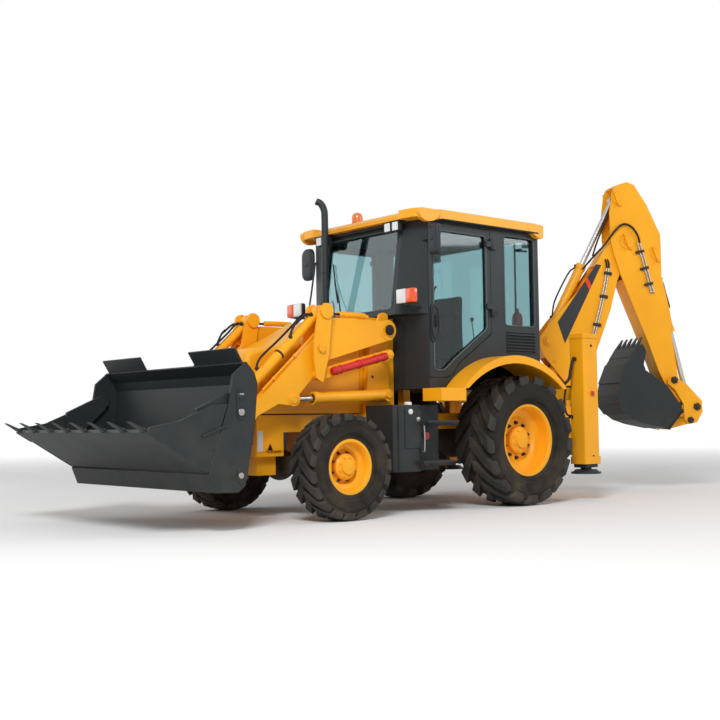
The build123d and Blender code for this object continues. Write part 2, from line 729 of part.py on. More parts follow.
# ---------------------------------------------------------------- lamps, mirrors and beacon

with BuildPart() as lamps:
    for y in (-590, -450, 450, 590):
        block((rear_axle_x + 1300, y - 50, cab_roof_z - 90), (rear_axle_x + 1360, y + 50, cab_roof_z))
    for y in (-700, 700):
        block((cab_rear_x - 60, y - 50, cab_roof_z - 110), (cab_rear_x, y + 50, cab_roof_z - 20))
    with BuildSketch(top_plane(roof_side_z)):
        with Locations((rear_axle_x + 1080, -300)):
            Circle(58)
    extrude(amount=160)
    for side in (1, -1):
        block((rear_axle_x + 1215, min(side * 795, side * 825), 1985),
              (rear_axle_x + 1440, max(side * 795, side * 825), 2015))
        block((rear_axle_x + 1420, min(side * 740, side * 1000), 1990),
              (rear_axle_x + 1520, max(side * 740, side * 1000), 2150))
    add(cab_frame.part, mode=Mode.SUBTRACT)
save(lamps, "lamps")

with BuildPart() as mirrors:
    for side in (1, -1):
        block((rear_axle_x + 1202, min(side * 800, side * 1000), 2600),
              (rear_axle_x + 1232, max(side * 800, side * 1000), 2630))
        block((rear_axle_x + 1206, min(side * 930, side * 1085), 2400),
              (rear_axle_x + 1246, max(side * 930, side * 1085), 2780))
    add(cab_frame.part, mode=Mode.SUBTRACT)
save(mirrors, "mirrors")

# ---------------------------------------------------------------- loader

arm_outline = [from_axle(1440, 1672), from_axle(1440, 1848), from_axle(2190, 1850), from_axle(2346, 1687),
               from_axle(3000, 1110), from_axle(3340, 840), from_axle(3370, 660), from_axle(3250, 640),
               from_axle(3040, 940), from_axle(2812, 1045), from_axle(2640, 1030), from_axle(2590, 1120),
               from_axle(2406, 1303), from_axle(2223, 1455)]
arm_boss_thickness = 6
with BuildPart() as loader_arms:
    for side in (1, -1):
        outer = max(side * arm_inner_y, side * arm_outer_y)
        slab(arm_outline, side_plane(outer), arm_width, 30)
        boss = max(side * arm_inner_y, side * (arm_outer_y + arm_boss_thickness))
        for centre, radius in ((arm_pivot, 100), (lift_pin, 66), (bucket_pivot, 74)):
            disc(centre, side_plane(boss), radius, arm_width + arm_boss_thickness)
        disc(arm_pivot, side_plane(outer + 10), 40 + pin_clearance, arm_width + 20, Mode.SUBTRACT)
        disc(bucket_pivot, side_plane(outer + 10), loader_pin_radius + pin_clearance, arm_width + 20,
             Mode.SUBTRACT)
        inner = max(side * (arm_inner_y + 12), side * (arm_outer_y - 12))
        disc(lift_pin, side_plane(inner), 150, arm_width - 24, Mode.SUBTRACT)
        pin_low = arm_inner_y - 2 * lever_plate - 8
        pin_high = lever_inner_y + lever_plate + 10
        disc(lever_pivot, side_plane(max(side * pin_low, side * pin_high)), loader_pin_radius,
             pin_high - pin_low)
    with Locations(Location((cross_tube[0], 0, cross_tube[1]), (90, 0, 0))):
        Cylinder(60, 2 * arm_inner_y + 10)
save(loader_arms, "loader_arms")

lever_outline = [(lever_top[0] - 75, lever_top[1] + 20), (lever_top[0] + 5, lever_top[1] + 80),
                 (lever_top[0] + 80, lever_top[1] + 10), (lever_pivot[0] + 85, lever_pivot[1] + 60),
                 (lever_pivot[0] + 85, lever_pivot[1] - 100), (lever_bottom[0] + 50, lever_bottom[1] - 30),
                 (lever_bottom[0] - 30, lever_bottom[1] - 75), (lever_pivot[0] - 85, lever_pivot[1] - 60)]
with BuildPart() as levers:
    for side in (1, -1):
        for inner in (lever_inner_y, arm_inner_y - 8 - lever_plate):
            outer = max(side * inner, side * (inner + lever_plate))
            slab(lever_outline, side_plane(outer), lever_plate, 20)
            disc(lever_pivot, side_plane(outer + 1), loader_pin_radius + pin_clearance, lever_plate + 2,
                 Mode.SUBTRACT)
            disc(lever_top, side_plane(outer + 1), loader_pin_radius + pin_clearance, lever_plate + 2,
                 Mode.SUBTRACT)
        disc(lever_bottom, side_plane(max(side * (lever_inner_y + 1), side * (link_inner_y - 4))), 30,
             lever_inner_y + 1 - link_inner_y + 4)
save(levers, "bell_cranks")

with BuildPart() as tilt_pins:
    for side in (1, -1):
        reach = lever_inner_y + lever_plate + 8
        inner = arm_inner_y - 8 - lever_plate - 8
        disc(lever_top, side_plane(max(side * reach, side * inner)), loader_pin_radius, reach - inner)
        for low, high, radius in ((inner - 12, inner + 6, 72), (arm_inner_y - 7, arm_mid_y - 36, 44),
                                  (arm_mid_y + 36, lever_inner_y - 1, 44), (reach - 6, reach + 6, 72)):
            disc(lever_top, side_plane(max(side * low, side * high)), radius, high - low)
save(tilt_pins, "tilt_ram_pins")

link_angle = atan2(lever_bottom[1] - link_pivot[1], lever_bottom[0] - link_pivot[0])
link_length = hypot(lever_bottom[1] - link_pivot[1], lever_bottom[0] - link_pivot[0])
with BuildPart() as links:
    for side in (1, -1):
        outer = max(side * link_inner_y, side * (link_inner_y + link_plate))
        with BuildSketch(side_plane(outer)) as bar:
            with Locations(Location(((link_pivot[0] + lever_bottom[0]) / 2,
                                     (link_pivot[1] + lever_bottom[1]) / 2),
                                    degrees(link_angle))):
                SlotCenterToCenter(link_length, 100)
        extrude(to_extrude=bar.sketch, amount=link_plate)
        for pin in (link_pivot, lever_bottom):
            disc(pin, side_plane(outer + 1), 30 + pin_clearance, link_plate + 2, Mode.SUBTRACT)
save(links, "leveling_links")

with BuildPart() as safety_strut:
    start = Vector(link_pivot[0], link_inner_y + link_plate + 40, link_pivot[1])
    along = Vector(cos(link_angle), 0, sin(link_angle))
    with BuildSketch(Plane(origin=start + along * 90, z_dir=along)):
        Circle(36)
        Circle(28, mode=Mode.SUBTRACT)
    extrude(amount=link_length - 230)
    for distance in (110, link_length - 190):
        with BuildSketch(Plane(origin=start + along * distance, z_dir=along)):
            Circle(40)
            Circle(35, mode=Mode.SUBTRACT)
        extrude(amount=30)
save(safety_strut, "safety_strut")

lift_barrel_length = 915
tilt_barrel_length = 1130
for name, base, tip, barrel_length, radius, retraction in (
    ("lift", lift_base, lift_pin, lift_barrel_length, 55, 100),
    ("tilt", lever_top, tilt_pin, tilt_barrel_length, 45, 40),
):
    base_pin = 30 if name == "lift" else loader_pin_radius
    with BuildPart() as barrels:
        for y in (arm_mid_y, -arm_mid_y):
            ram_barrel(side_plane(y), base, tip, barrel_length, radius, 60, 70, base_pin)
    save(barrels, f"{name}_ram_barrels")
    with BuildPart() as rods:
        for y in (arm_mid_y, -arm_mid_y):
            ram_rod(side_plane(y), base, tip, retraction, radius, 28, 50, 64)
    save(rods, f"{name}_ram_rods")

hinge_tube_radius = 95
hinge_tube_half_length = 480
with BuildPart() as bucket_pins:
    pin_reach = arm_outer_y + 35
    disc(bucket_pivot, side_plane(pin_reach), loader_pin_radius, 2 * pin_reach)
    disc(bucket_pivot, side_plane(hinge_tube_half_length), hinge_tube_radius, 2 * hinge_tube_half_length)
save(bucket_pins, "bucket_pins")

# ---------------------------------------------------------------- loader bucket

bucket_back = [from_axle(3550, 1380), from_axle(3470, 1290), from_axle(3440, 1200), from_axle(3470, 860),
               from_axle(3545, 460), from_axle(3572, 370), from_axle(3640, 322), from_axle(3860, 330),
               from_axle(3920, 480)]
bucket_front = [from_axle(3895, 490), from_axle(3845, 350), from_axle(3646, 342), from_axle(3592, 380),
                from_axle(3566, 466), from_axle(3492, 862), from_axle(3463, 1202), from_axle(3490, 1280),
                from_axle(3568, 1368)]
jaw_pivot = from_axle(3600, 1090)
guard = [from_axle(3536, 1366), from_axle(3556, 1374), from_axle(3628, 1490), from_axle(3612, 1498)]
with BuildPart() as bucket_shell:
    slab(bucket_back + bucket_front, side_plane(bucket_half_width), 2 * bucket_half_width)
    for y in (bucket_half_width - 60, -420):
        slab(guard, side_plane(y), 710)
    for z, x in ((470, 3535), (700, 3484)):
        block((rear_axle_x + x - 16, -bucket_half_width + 30, z),
              (rear_axle_x + x + 20, -arm_outer_y - 60, z + 60))
        block((rear_axle_x + x - 16, arm_outer_y + 60, z),
              (rear_axle_x + x + 20, bucket_half_width - 30, z + 60))
    for side in (1, -1):
        outer = max(side * bucket_half_width, side * (bucket_half_width - 25))
        slab(bucket_back + [from_axle(3720, 1040), from_axle(3680, 1270)], side_plane(outer), 25)
        pin_inner = bucket_half_width - 72
        disc(jaw_pivot, side_plane(max(side * pin_inner, side * (bucket_half_width - 1))),
             loader_pin_radius, 71)
        for inner in (arm_inner_y - 32, arm_outer_y + 7):
            lug = max(side * inner, side * (inner + 25))
            slab([from_axle(3450, 1240), from_axle(3190, 1120), from_axle(3190, 1020), from_axle(3240, 990),
                  from_axle(3310, 975), from_axle(3325, 850), from_axle(3260, 800), from_axle(3215, 700),
                  from_axle(3240, 640), from_axle(3300, 610), from_axle(3540, 520)], side_plane(lug), 25)
            disc(bucket_pivot, side_plane(lug + 1), loader_pin_radius + pin_clearance, 27, Mode.SUBTRACT)
save(bucket_shell, "loader_bucket")

tooth_count = 8
lip = from_axle(4455, 831)
with BuildPart() as jaw:
    floor = [from_axle(3926, 496), from_axle(4460, 820), from_axle(4450, 842), from_axle(3910, 512)]
    slab(floor, side_plane(bucket_half_width), 2 * bucket_half_width)
    slab([from_axle(4330, 731), from_axle(4470, 816), from_axle(4455, 842), from_axle(4315, 756)],
         side_plane(bucket_half_width), 2 * bucket_half_width)
    for side in (1, -1):
        outer = max(side * bucket_half_width, side * (bucket_half_width - 25))
        slab([from_axle(3928, 494), from_axle(4460, 820), from_axle(4440, 860), from_axle(4190, 900),
              from_axle(3870, 1030), from_axle(3733, 1035)], side_plane(outer), 25)
        arm_face = max(side * (bucket_half_width - 70), side * (bucket_half_width - 35))
        slab([from_axle(3560, 1150), from_axle(3640, 1160), from_axle(4000, 1000), from_axle(4000, 700),
              from_axle(3900, 760), from_axle(3600, 1030)], side_plane(arm_face), 35, 15)
        web = max(side * (bucket_half_width - 40), side * (bucket_half_width - 20))
        slab([from_axle(3900, 980), from_axle(3990, 950), from_axle(3990, 720), from_axle(3900, 780)],
             side_plane(web), 20)
        disc(jaw_pivot, side_plane(arm_face + 1), loader_pin_radius + pin_clearance, 37, Mode.SUBTRACT)
    for index in range(tooth_count):
        y = -bucket_half_width + 60 + index * (2 * bucket_half_width - 120) / (tooth_count - 1)
        slab([(lip[0] + 2, lip[1] - 14), (lip[0] + 140, lip[1] + 75), (lip[0] - 8, lip[1] + 10)],
             side_plane(y + 35), 70)
save(jaw, "bucket_jaw")

# ---------------------------------------------------------------- backhoe pins, (behind swing axis, z)

boom_foot = (480, 720)
boom_top = (1215, 3000)
boom_ram_base = (90, 1160)
boom_ram_pin = (725, 2080)
dipper_ram_base = (190, 1800)
dipper_ram_pin = (1095, 3525)
hoe_ram_base = (1590, 2850)
hoe_lever_pivot = (1755, 1324)
hoe_ram_pin = (2045, 1000)
hoe_link_pin = (1955, 839)
hoe_bucket_pin = (1675, 775)
hoe_bucket_pivot = (1885, 1000)
hoe_pin_radius = 30
foot_pin_radius = 45
head_pin_radius = 40

# ---------------------------------------------------------------- carriage and kingpost

swing_pin_radius = 45
bracket_levels = ((500, 560), (1000, 1060))
with BuildPart() as carriage:
    block((leg_rear_x - 80, swing_y - 330, 440), (leg_rear_x - 0.1, swing_y + 330, 1280))
    block((leg_rear_x - 10, swing_y - 330, 1240.1), (leg_rear_x + 100, swing_y + 330, 1280))
    block((leg_rear_x - 10, swing_y - 330, 440), (leg_rear_x + 60, swing_y + 330, 479.9))
    for low, high in bracket_levels:
        block((swing_x, swing_y - 120, low), (leg_rear_x - 70, swing_y + 120, high))
        with Locations((swing_x, swing_y, (low + high) / 2)):
            Cylinder(120, high - low)
    for low, high in bracket_levels:
        with Locations((swing_x, swing_y, (low + high) / 2)):
            Cylinder(swing_pin_radius + pin_clearance, 80, mode=Mode.SUBTRACT)
save(carriage, "slide_carriage")

kingpost_inner = boom_half_width + 10
kingpost_plate = 30
kingpost_outline = [(0, 600), (0, 975), (140, 975), (145, 1075), (20, 1100), (20, 1200), (70, 1235),
                    (150, 1235),
                    (330, 1080), (570, 800), (580, 680), (500, 610)]
with BuildPart() as kingpost:
    with BuildSketch(top_plane(490)):
        with Locations((swing_x, swing_y)):
            Circle(swing_pin_radius)
    extrude(amount=590)
    with BuildSketch(top_plane(566)):
        with Locations((swing_x, swing_y)):
            Circle(110)
    extrude(amount=428)
    for offset in (-kingpost_inner - kingpost_plate, kingpost_inner):
        slab(kingpost_outline, hoe_plane(offset), kingpost_plate)
    slab([(0, 600), (0, 975), (150, 975), (170, 900), (170, 600)], hoe_plane(-kingpost_inner - 2),
         2 * kingpost_inner + 4)
    for pin, radius in ((boom_foot, foot_pin_radius), (boom_ram_base, hoe_pin_radius)):
        disc(pin, hoe_plane(-kingpost_inner - kingpost_plate - 12), radius,
             2 * (kingpost_inner + kingpost_plate + 12))
save(kingpost, "kingpost")

# ---------------------------------------------------------------- boom

boom_outline = [(405, 655), (480, 620), (560, 655), (610, 800), (740, 1400), (794, 1666), (875, 1868),
                (992, 2173),
                (1089, 2530), (1200, 2780), (1325, 2960), (1325, 3060), (1215, 3120), (1100, 3080), (920,
                                                                                                     2890),
                (700, 2520), (250, 2050), (90, 1850), (82, 1741), (120, 1641), (261, 1466), (400, 1300)]
ram_channel = 78
with BuildPart() as boom:
    slab(boom_outline, hoe_plane(-boom_half_width), 2 * boom_half_width)
    slab([(540, 2330), (760, 2280), (850, 2100), (700, 1600), (590, 1300), (470, 980), (400, 760),
          (350, 600),
          (0, 600), (0, 1500), (230, 1650)], hoe_plane(-ram_channel), 2 * ram_channel, mode=Mode.SUBTRACT)
    slab([(0, 1780), (130, 1680), (285, 1740), (835, 2690), (700, 2800), (0, 2100)],
         hoe_plane(-ram_channel),
         2 * ram_channel, mode=Mode.SUBTRACT)
    disc(boom_foot, hoe_plane(-boom_half_width - 1), foot_pin_radius + pin_clearance,
         2 * boom_half_width + 2,
         Mode.SUBTRACT)
    disc(dipper_ram_base, hoe_plane(-boom_half_width - 8), 62, 8)
    disc(dipper_ram_base, hoe_plane(boom_half_width), 62, 8)
    disc(boom_top, hoe_plane(-boom_half_width - 44), head_pin_radius, 2 * boom_half_width + 88)
    disc(dipper_ram_base, hoe_plane(-boom_half_width - 12), hoe_pin_radius, 2 * boom_half_width + 24)
save(boom, "boom")

# ---------------------------------------------------------------- dipper

dipper_outline = [(1035, 3600), (1000, 3343), (1003, 3036), (1040, 2858), (1123, 2604), (1256, 2274),
                  (1436, 1842),
                  (1589, 1435), (1820, 965), (1885, 930), (1945, 965), (1955, 1030), (1837, 1370), (1773,
                                                                                                    1843),
                  (1763, 2125), (1702, 2407), (1657, 2586), (1658, 2972), (1653, 3101), (1483, 3459), (1324,
                                                                                                       3699),
                  (1228, 3729), (1076, 3678)]
dipper_inner = boom_half_width + dipper_gap
dipper_half_width = dipper_inner + dipper_plate
head_hollow = [(800, 3900), (830, 3890), (1150, 3572), (1250, 3450), (1340, 3250), (1400, 3060),
               (1390, 2900),
               (1290, 2640), (1180, 2540), (900, 2540)]
ear_inner = dipper_half_width + 6
ear_plate = 24
hoe_lever_inner = ear_inner + ear_plate + 8
hoe_lever_plate = 20
with BuildPart() as dipper:
    slab(dipper_outline, hoe_plane(-dipper_half_width), 2 * dipper_half_width)
    slab(head_hollow, hoe_plane(-dipper_inner), 2 * dipper_inner, mode=Mode.SUBTRACT)
    slab(ram_path(hoe_ram_base, hoe_ram_pin, 72, 100, 200), hoe_plane(-dipper_inner), 2 * dipper_inner,
         mode=Mode.SUBTRACT)
    slab([(1650, 2980), (1800, 2980), (2200, 1300), (1900, 1300)], hoe_plane(-dipper_inner),
         2 * dipper_inner,
         mode=Mode.SUBTRACT)
    for centre, radius in ((boom_top, 90), (hoe_ram_base, 58), (dipper_ram_pin, 66)):
        for offset in (-dipper_half_width - 8, dipper_half_width):
            disc(centre, hoe_plane(offset), radius, 8)
    disc(boom_top, hoe_plane(-dipper_half_width - 10), head_pin_radius + pin_clearance,
         2 * dipper_half_width + 20, Mode.SUBTRACT)
    disc(hoe_ram_base, hoe_plane(-dipper_half_width - 12), hoe_pin_radius, 2 * dipper_half_width + 24)
    lever_reach = hoe_lever_inner + hoe_lever_plate + 6
    disc(hoe_lever_pivot, hoe_plane(-lever_reach), hoe_pin_radius, 2 * lever_reach)
    tip_reach = ear_inner + ear_plate + 2
    disc(hoe_bucket_pivot, hoe_plane(-tip_reach), hoe_pin_radius, 2 * tip_reach)
save(dipper, "dipper")

# ---------------------------------------------------------------- bucket linkage

lever_shape = [(1754, 1375), (1672, 1320), (1680, 1275), (1765, 1207), (1872, 1030), (1880, 855),
               (1928, 790),
               (2042, 810), (2120, 940), (2114, 1072), (1912, 1279)]
with BuildPart() as hoe_levers:
    for offset in (hoe_lever_inner, -hoe_lever_inner - hoe_lever_plate):
        slab(lever_shape, hoe_plane(offset), hoe_lever_plate, 20)
        disc(hoe_lever_pivot, hoe_plane(offset - 1), hoe_pin_radius + pin_clearance, hoe_lever_plate + 2,
             Mode.SUBTRACT)
    link_pin_reach = hoe_lever_inner + hoe_lever_plate + 10
    disc(hoe_link_pin, hoe_plane(-link_pin_reach), hoe_pin_radius, 2 * link_pin_reach)
save(hoe_levers, "hoe_levers")

link_half_width = 120
bar_angle = degrees(atan2(hoe_bucket_pin[1] - hoe_link_pin[1], hoe_bucket_pin[0] - hoe_link_pin[0]))
bar_length = hypot(hoe_bucket_pin[1] - hoe_link_pin[1], hoe_bucket_pin[0] - hoe_link_pin[0])
bar_middle = ((hoe_bucket_pin[0] + hoe_link_pin[0]) / 2, (hoe_bucket_pin[1] + hoe_link_pin[1]) / 2)
with BuildPart() as hoe_link:
    with BuildSketch(hoe_plane(-link_half_width)) as bar:
        with Locations(Location(bar_middle, bar_angle)):
            SlotCenterToCenter(bar_length, 90)
    extrude(to_extrude=bar.sketch, amount=2 * link_half_width)
    disc(hoe_link_pin, hoe_plane(-link_half_width - 1), hoe_pin_radius + pin_clearance,
         2 * link_half_width + 2,
         Mode.SUBTRACT)
save(hoe_link, "hoe_link")

shell_outer = [(1228, 1720), (1095, 1525), (1000, 1300), (965, 1150), (985, 1030), (1070, 925), (1165, 855),
               (1325, 800), (1590, 745)]
shell_inner = [(1590, 768), (1330, 824), (1178, 877), (1084, 944), (1007, 1038), (988, 1150), (1022, 1294),
               (1114, 1512), (1246, 1706)]
cheek = [(1780, 960), (1790, 1000), (1599, 1262), (1330, 1440), (1308, 1509), (1344, 1668), (1300, 1754),
         (1228, 1720)]
bucket_ear = [(1400, 800), (1590, 745), (1700, 725), (1740, 780), (1860, 920), (1950, 960), (1950, 1040),
              (1885, 1070), (1800, 1040), (1500, 1000)]
hoe_tooth_count = 5
with BuildPart() as hoe_bucket:
    slab(shell_outer + shell_inner, hoe_plane(-hoe_bucket_half_width), 2 * hoe_bucket_half_width)
    slab([(1222, 1722), (1140, 1600), (1166, 1584), (1252, 1704)], hoe_plane(-hoe_bucket_half_width),
         2 * hoe_bucket_half_width)
    for index in range(hoe_tooth_count):
        pitch = (2 * hoe_bucket_half_width - 80) / (hoe_tooth_count - 1)
        across = -hoe_bucket_half_width + 40 + index * pitch
        slab([(1214, 1716), (1308, 1836), (1250, 1700)], hoe_plane(across - 30), 60)
    for band_low, band_high in ((1, 2), (4, 5)):
        slab([shell_outer[band_low], shell_outer[band_high],
              (shell_outer[band_high][0] - 14, shell_outer[band_high][1] - 6),
              (shell_outer[band_low][0] - 14, shell_outer[band_low][1] - 4)],
             hoe_plane(-hoe_bucket_half_width), 2 * hoe_bucket_half_width)
    for offset in (-hoe_bucket_half_width, hoe_bucket_half_width - 16):
        slab(cheek + shell_outer[1:], hoe_plane(offset), 16)
    for offset in (-ear_inner - ear_plate, ear_inner):
        slab(bucket_ear, hoe_plane(offset), ear_plate)
        disc(hoe_bucket_pivot, hoe_plane(offset - 1), hoe_pin_radius + pin_clearance, ear_plate + 2,
             Mode.SUBTRACT)
save(hoe_bucket, "hoe_bucket")

# ---------------------------------------------------------------- backhoe rams

for name, base, tip, barrel_length, radius, retraction in (
    ("boom", boom_ram_base, boom_ram_pin, 980, 65, 0),
    ("dipper", dipper_ram_base, dipper_ram_pin, 1040, 58, 815),
    ("hoe_bucket", hoe_ram_base, hoe_ram_pin, 960, 50, 525),
):
    with BuildPart() as barrel:
        ram_barrel(hoe_plane(0), base, tip, barrel_length, radius, 60, 80, hoe_pin_radius)
    save(barrel, f"{name}_ram_barrel")
    with BuildPart() as rod:
        ram_rod(hoe_plane(0), base, tip, retraction, radius, 32, 50, 80)
    save(rod, f"{name}_ram_rod")
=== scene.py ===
"""Looks of the backhoe loader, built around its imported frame.

Metres, +X forward, +Y to the machine's left, +Z up, ground at z = 0.
"""

from __future__ import annotations

import json
import logging
import math
from dataclasses import dataclass
from enum import Enum
from typing import ClassVar

import bpy
import numpy as np
from mathutils import Matrix, Vector

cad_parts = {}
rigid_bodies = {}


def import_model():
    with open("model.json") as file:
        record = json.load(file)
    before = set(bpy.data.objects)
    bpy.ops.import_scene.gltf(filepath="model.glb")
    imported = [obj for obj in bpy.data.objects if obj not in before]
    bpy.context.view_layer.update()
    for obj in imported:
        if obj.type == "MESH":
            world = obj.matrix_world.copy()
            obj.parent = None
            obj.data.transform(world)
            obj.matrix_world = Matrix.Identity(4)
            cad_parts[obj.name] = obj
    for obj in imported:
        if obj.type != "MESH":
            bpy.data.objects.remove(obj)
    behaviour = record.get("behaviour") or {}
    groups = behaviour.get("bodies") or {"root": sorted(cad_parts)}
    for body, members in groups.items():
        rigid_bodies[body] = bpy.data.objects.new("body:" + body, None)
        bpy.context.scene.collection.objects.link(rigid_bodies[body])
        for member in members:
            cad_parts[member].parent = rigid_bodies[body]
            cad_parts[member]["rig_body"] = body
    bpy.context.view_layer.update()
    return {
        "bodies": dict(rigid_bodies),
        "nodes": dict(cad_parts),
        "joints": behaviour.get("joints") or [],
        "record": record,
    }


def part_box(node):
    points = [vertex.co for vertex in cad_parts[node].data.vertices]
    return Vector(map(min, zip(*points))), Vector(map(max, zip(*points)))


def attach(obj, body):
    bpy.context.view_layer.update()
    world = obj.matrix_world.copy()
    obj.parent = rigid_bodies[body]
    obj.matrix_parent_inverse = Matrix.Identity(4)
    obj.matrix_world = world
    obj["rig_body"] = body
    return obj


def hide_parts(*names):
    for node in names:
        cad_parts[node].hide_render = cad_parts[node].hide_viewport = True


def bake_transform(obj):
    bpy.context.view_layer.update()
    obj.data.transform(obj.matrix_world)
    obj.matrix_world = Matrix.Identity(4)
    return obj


log = logging.getLogger("backhoe_loader")
LEFT = 1
RIGHT = -1
SIDES = ((LEFT, "left"), (RIGHT, "right"))
UP = Vector((0, 0, 1))
FOOT_DEPTH = 0.002
NUT_SLOPE = 0.004

Pair = tuple[float, float]
Point = tuple[float, float, float]
Colour = tuple[float, float, float, float]
Outline = list[Pair] | np.ndarray
Socket = bpy.types.NodeSocket


# ---------------------------------------------------------------- arrays of points


class Shape:
    """Vertex and face arrays that are gathered, then made into one mesh."""

    def __init__(self) -> None:
        """Start with no points."""
        self.points: list[np.ndarray] = []
        self.faces: list[list[int]] = []
        self.count = 0

    def add(self, points: np.ndarray, faces: np.ndarray | list) -> "Shape":
        """Append a patch.

        Args:
            points: Array of shape (n, 3).
            faces: Index rows into those points.

        Returns:
            This shape, so that calls chain.
        """
        rows = np.asarray(points, float).reshape(-1, 3)
        self.points.append(rows)
        self.faces.extend([[int(i) + self.count for i in face] for face in faces])
        self.count += len(rows)
        return self

    def extend(self, other: "Shape", matrix: Matrix | None = None) -> "Shape":
        """Append a copy of another shape, moved by a matrix.

        Args:
            other: The shape to copy.
            matrix: Where the copy goes, or None to leave it in place.

        Returns:
            This shape.
        """
        rows = np.concatenate(other.points)
        if matrix is not None:
            turn = np.array(matrix.to_3x3())
            rows = rows @ turn.T + np.array(matrix.translation)
        return self.add(rows, other.faces)


def grid_faces(rows: int, columns: int, wrap_rows: bool = False, wrap_columns: bool = False) -> np.ndarray:
    """Quads of a rectangular grid of points stored row by row.

    Args:
        rows: Number of rows.
        columns: Number of columns.
        wrap_rows: Join the last row to the first.
        wrap_columns: Join the last column to the first.

    Returns:
        Array of shape (n, 4).
    """
    i = np.arange(rows if wrap_rows else rows - 1)[:, None]
    j = np.arange(columns if wrap_columns else columns - 1)[None, :]
    i2 = (i + 1) % rows
    j2 = (j + 1) % columns
    quads = np.stack([i * columns + j, i * columns + j2, i2 * columns + j2, i2 * columns + j], axis=-1)
    return quads.reshape(-1, 4)


def barrel_faces(rows: int, count: int) -> list[list[int]]:
    """Faces of rings of points that are joined one to the next and closed at both ends.

    Args:
        rows: Number of rings.
        count: Points on each ring.

    Returns:
        The quads, then the first and the last ring.
    """
    last = (rows - 1) * count
    ends = [list(range(count))[::-1], [last + i for i in range(count)]]
    return grid_faces(rows, count, wrap_columns=True).tolist() + ends


def circles(first: np.ndarray, second: np.ndarray, count: int) -> np.ndarray:
    """Unit circles in the planes of pairs of directions.

    Args:
        first: Directions of shape (3,) or (n, 3) in which the circles start.
        second: Directions a quarter turn on.
        count: Points on each circle.

    Returns:
        Array of shape (n, count, 3).
    """
    angle = np.linspace(0, 2 * math.pi, count, endpoint=False)[None, :, None]
    return np.cos(angle) * first[..., None, :] + np.sin(angle) * second[..., None, :]


def lathe(profile: list[Pair], centre: Vector, axis: Vector, segments: int = 48) -> Shape:
    """Surface of revolution: each (radius, height) pair becomes a circle about the axis.

    Args:
        profile: Radius and height along the axis, from the lower end to the upper.
        centre: Point where the height is nought.
        axis: Direction of the axis.
        segments: Points round each circle.

    Returns:
        A closed shape, when the profile starts and ends at radius nought.
    """
    up = axis.normalized()
    first = up.orthogonal().normalized()
    ring = circles(np.array(first), np.array(up.cross(first)), segments)
    pairs = np.array(profile)
    points = np.array(centre) + pairs[:, 0, None, None] * ring + pairs[:, 1, None, None] * np.array(up)
    return Shape().add(points, grid_faces(len(pairs), segments, wrap_columns=True))


def smooth_path(controls: list[Point], steps: int = 8) -> np.ndarray:
    """Points of a Catmull-Rom curve: between two controls, a cubic whose slopes are half the neighbours' span.

    Args:
        controls: Points that the curve passes through.
        steps: Points made between one control and the next.

    Returns:
        Array of shape (n, 3).
    """
    p = np.array(controls, float)
    p = np.vstack([2 * p[0] - p[1], p, 2 * p[-1] - p[-2]])
    t = np.linspace(0, 1, steps, endpoint=False)[None, :, None]
    a, b, c, d = (p[i : len(p) - 3 + i, None, :] for i in range(4))
    curve = 0.5 * (2 * b + (c - a) * t + (2 * a - 5 * b + 4 * c - d) * t**2 + (3 * b - a - 3 * c + d) * t**3)
    return np.vstack([curve.reshape(-1, 3), p[-2]])


def tube(path: np.ndarray, radius: float, segments: int = 12) -> Shape:
    """Circle carried along a path, its frame turned as little as possible from one point to the next.

    Args:
        path: Points of the centre line.
        radius: Radius of the tube.
        segments: Points round the tube.

    Returns:
        A closed tube.
    """
    tangents = np.gradient(path, axis=0)
    tangents /= np.linalg.norm(tangents, axis=1)[:, None]
    normal = Vector(tangents[0]).orthogonal().normalized()
    normals = []
    for tangent in tangents:
        direction = Vector(tangent)
        normal = (normal - direction * normal.dot(direction)).normalized()
        normals.append(tuple(normal))
    ring = circles(np.array(normals), np.cross(tangents, normals), segments)
    return Shape().add(path[:, None, :] + radius * ring, barrel_faces(len(path), segments))


def bead(path: np.ndarray, normal: np.ndarray, radius: float, segments: int) -> Shape:
    """Round bead along a closed flat loop.

    Args:
        path: Points of the loop.
        normal: Unit direction across its plane.
        radius: Radius of the bead.
        segments: Points round the bead.

    Returns:
        The bead.
    """
    tangent = np.roll(path, -1, axis=0) - np.roll(path, 1, axis=0)
    tangent /= np.linalg.norm(tangent, axis=1)[:, None]
    points = path[:, None] + radius * circles(np.cross(tangent, normal), normal, segments)
    return Shape().add(points, grid_faces(len(path), segments, wrap_rows=True, wrap_columns=True))


def soft_box(low: tuple, high: tuple, radius: float) -> Shape:
    """Box with rounded edges: a point is its nearest point in the inner box plus the radius outwards.

    Args:
        low: Lowest corner.
        high: Highest corner.
        radius: Radius of the edges.

    Returns:
        A closed shape.
    """
    low_corner = np.minimum(low, high)
    high_corner = np.maximum(low, high)
    half = (high_corner - low_corner) / 2
    middle = (high_corner + low_corner) / 2
    r = min(radius, float(half.min()) * 0.98)
    shape = Shape()
    for axis in range(3):
        u, v = (axis + 1) % 3, (axis + 2) % 3
        us, vs = (np.array([-h, -h + r / 2, -h + r, h - r, h - r / 2, h]) for h in (half[u], half[v]))
        for end in (-1, 1):
            q = np.zeros((6, 6, 3))
            q[..., u] = us[:, None]
            q[..., v] = vs[None, :]
            q[..., axis] = end * half[axis]
            inner = np.clip(q, -half + r, half - r)
            out = q - inner
            p = inner + r * out / np.linalg.norm(out, axis=-1, keepdims=True)
            faces = grid_faces(6, 6)
            shape.add(middle + p, faces if end > 0 else faces[:, ::-1])
    return shape


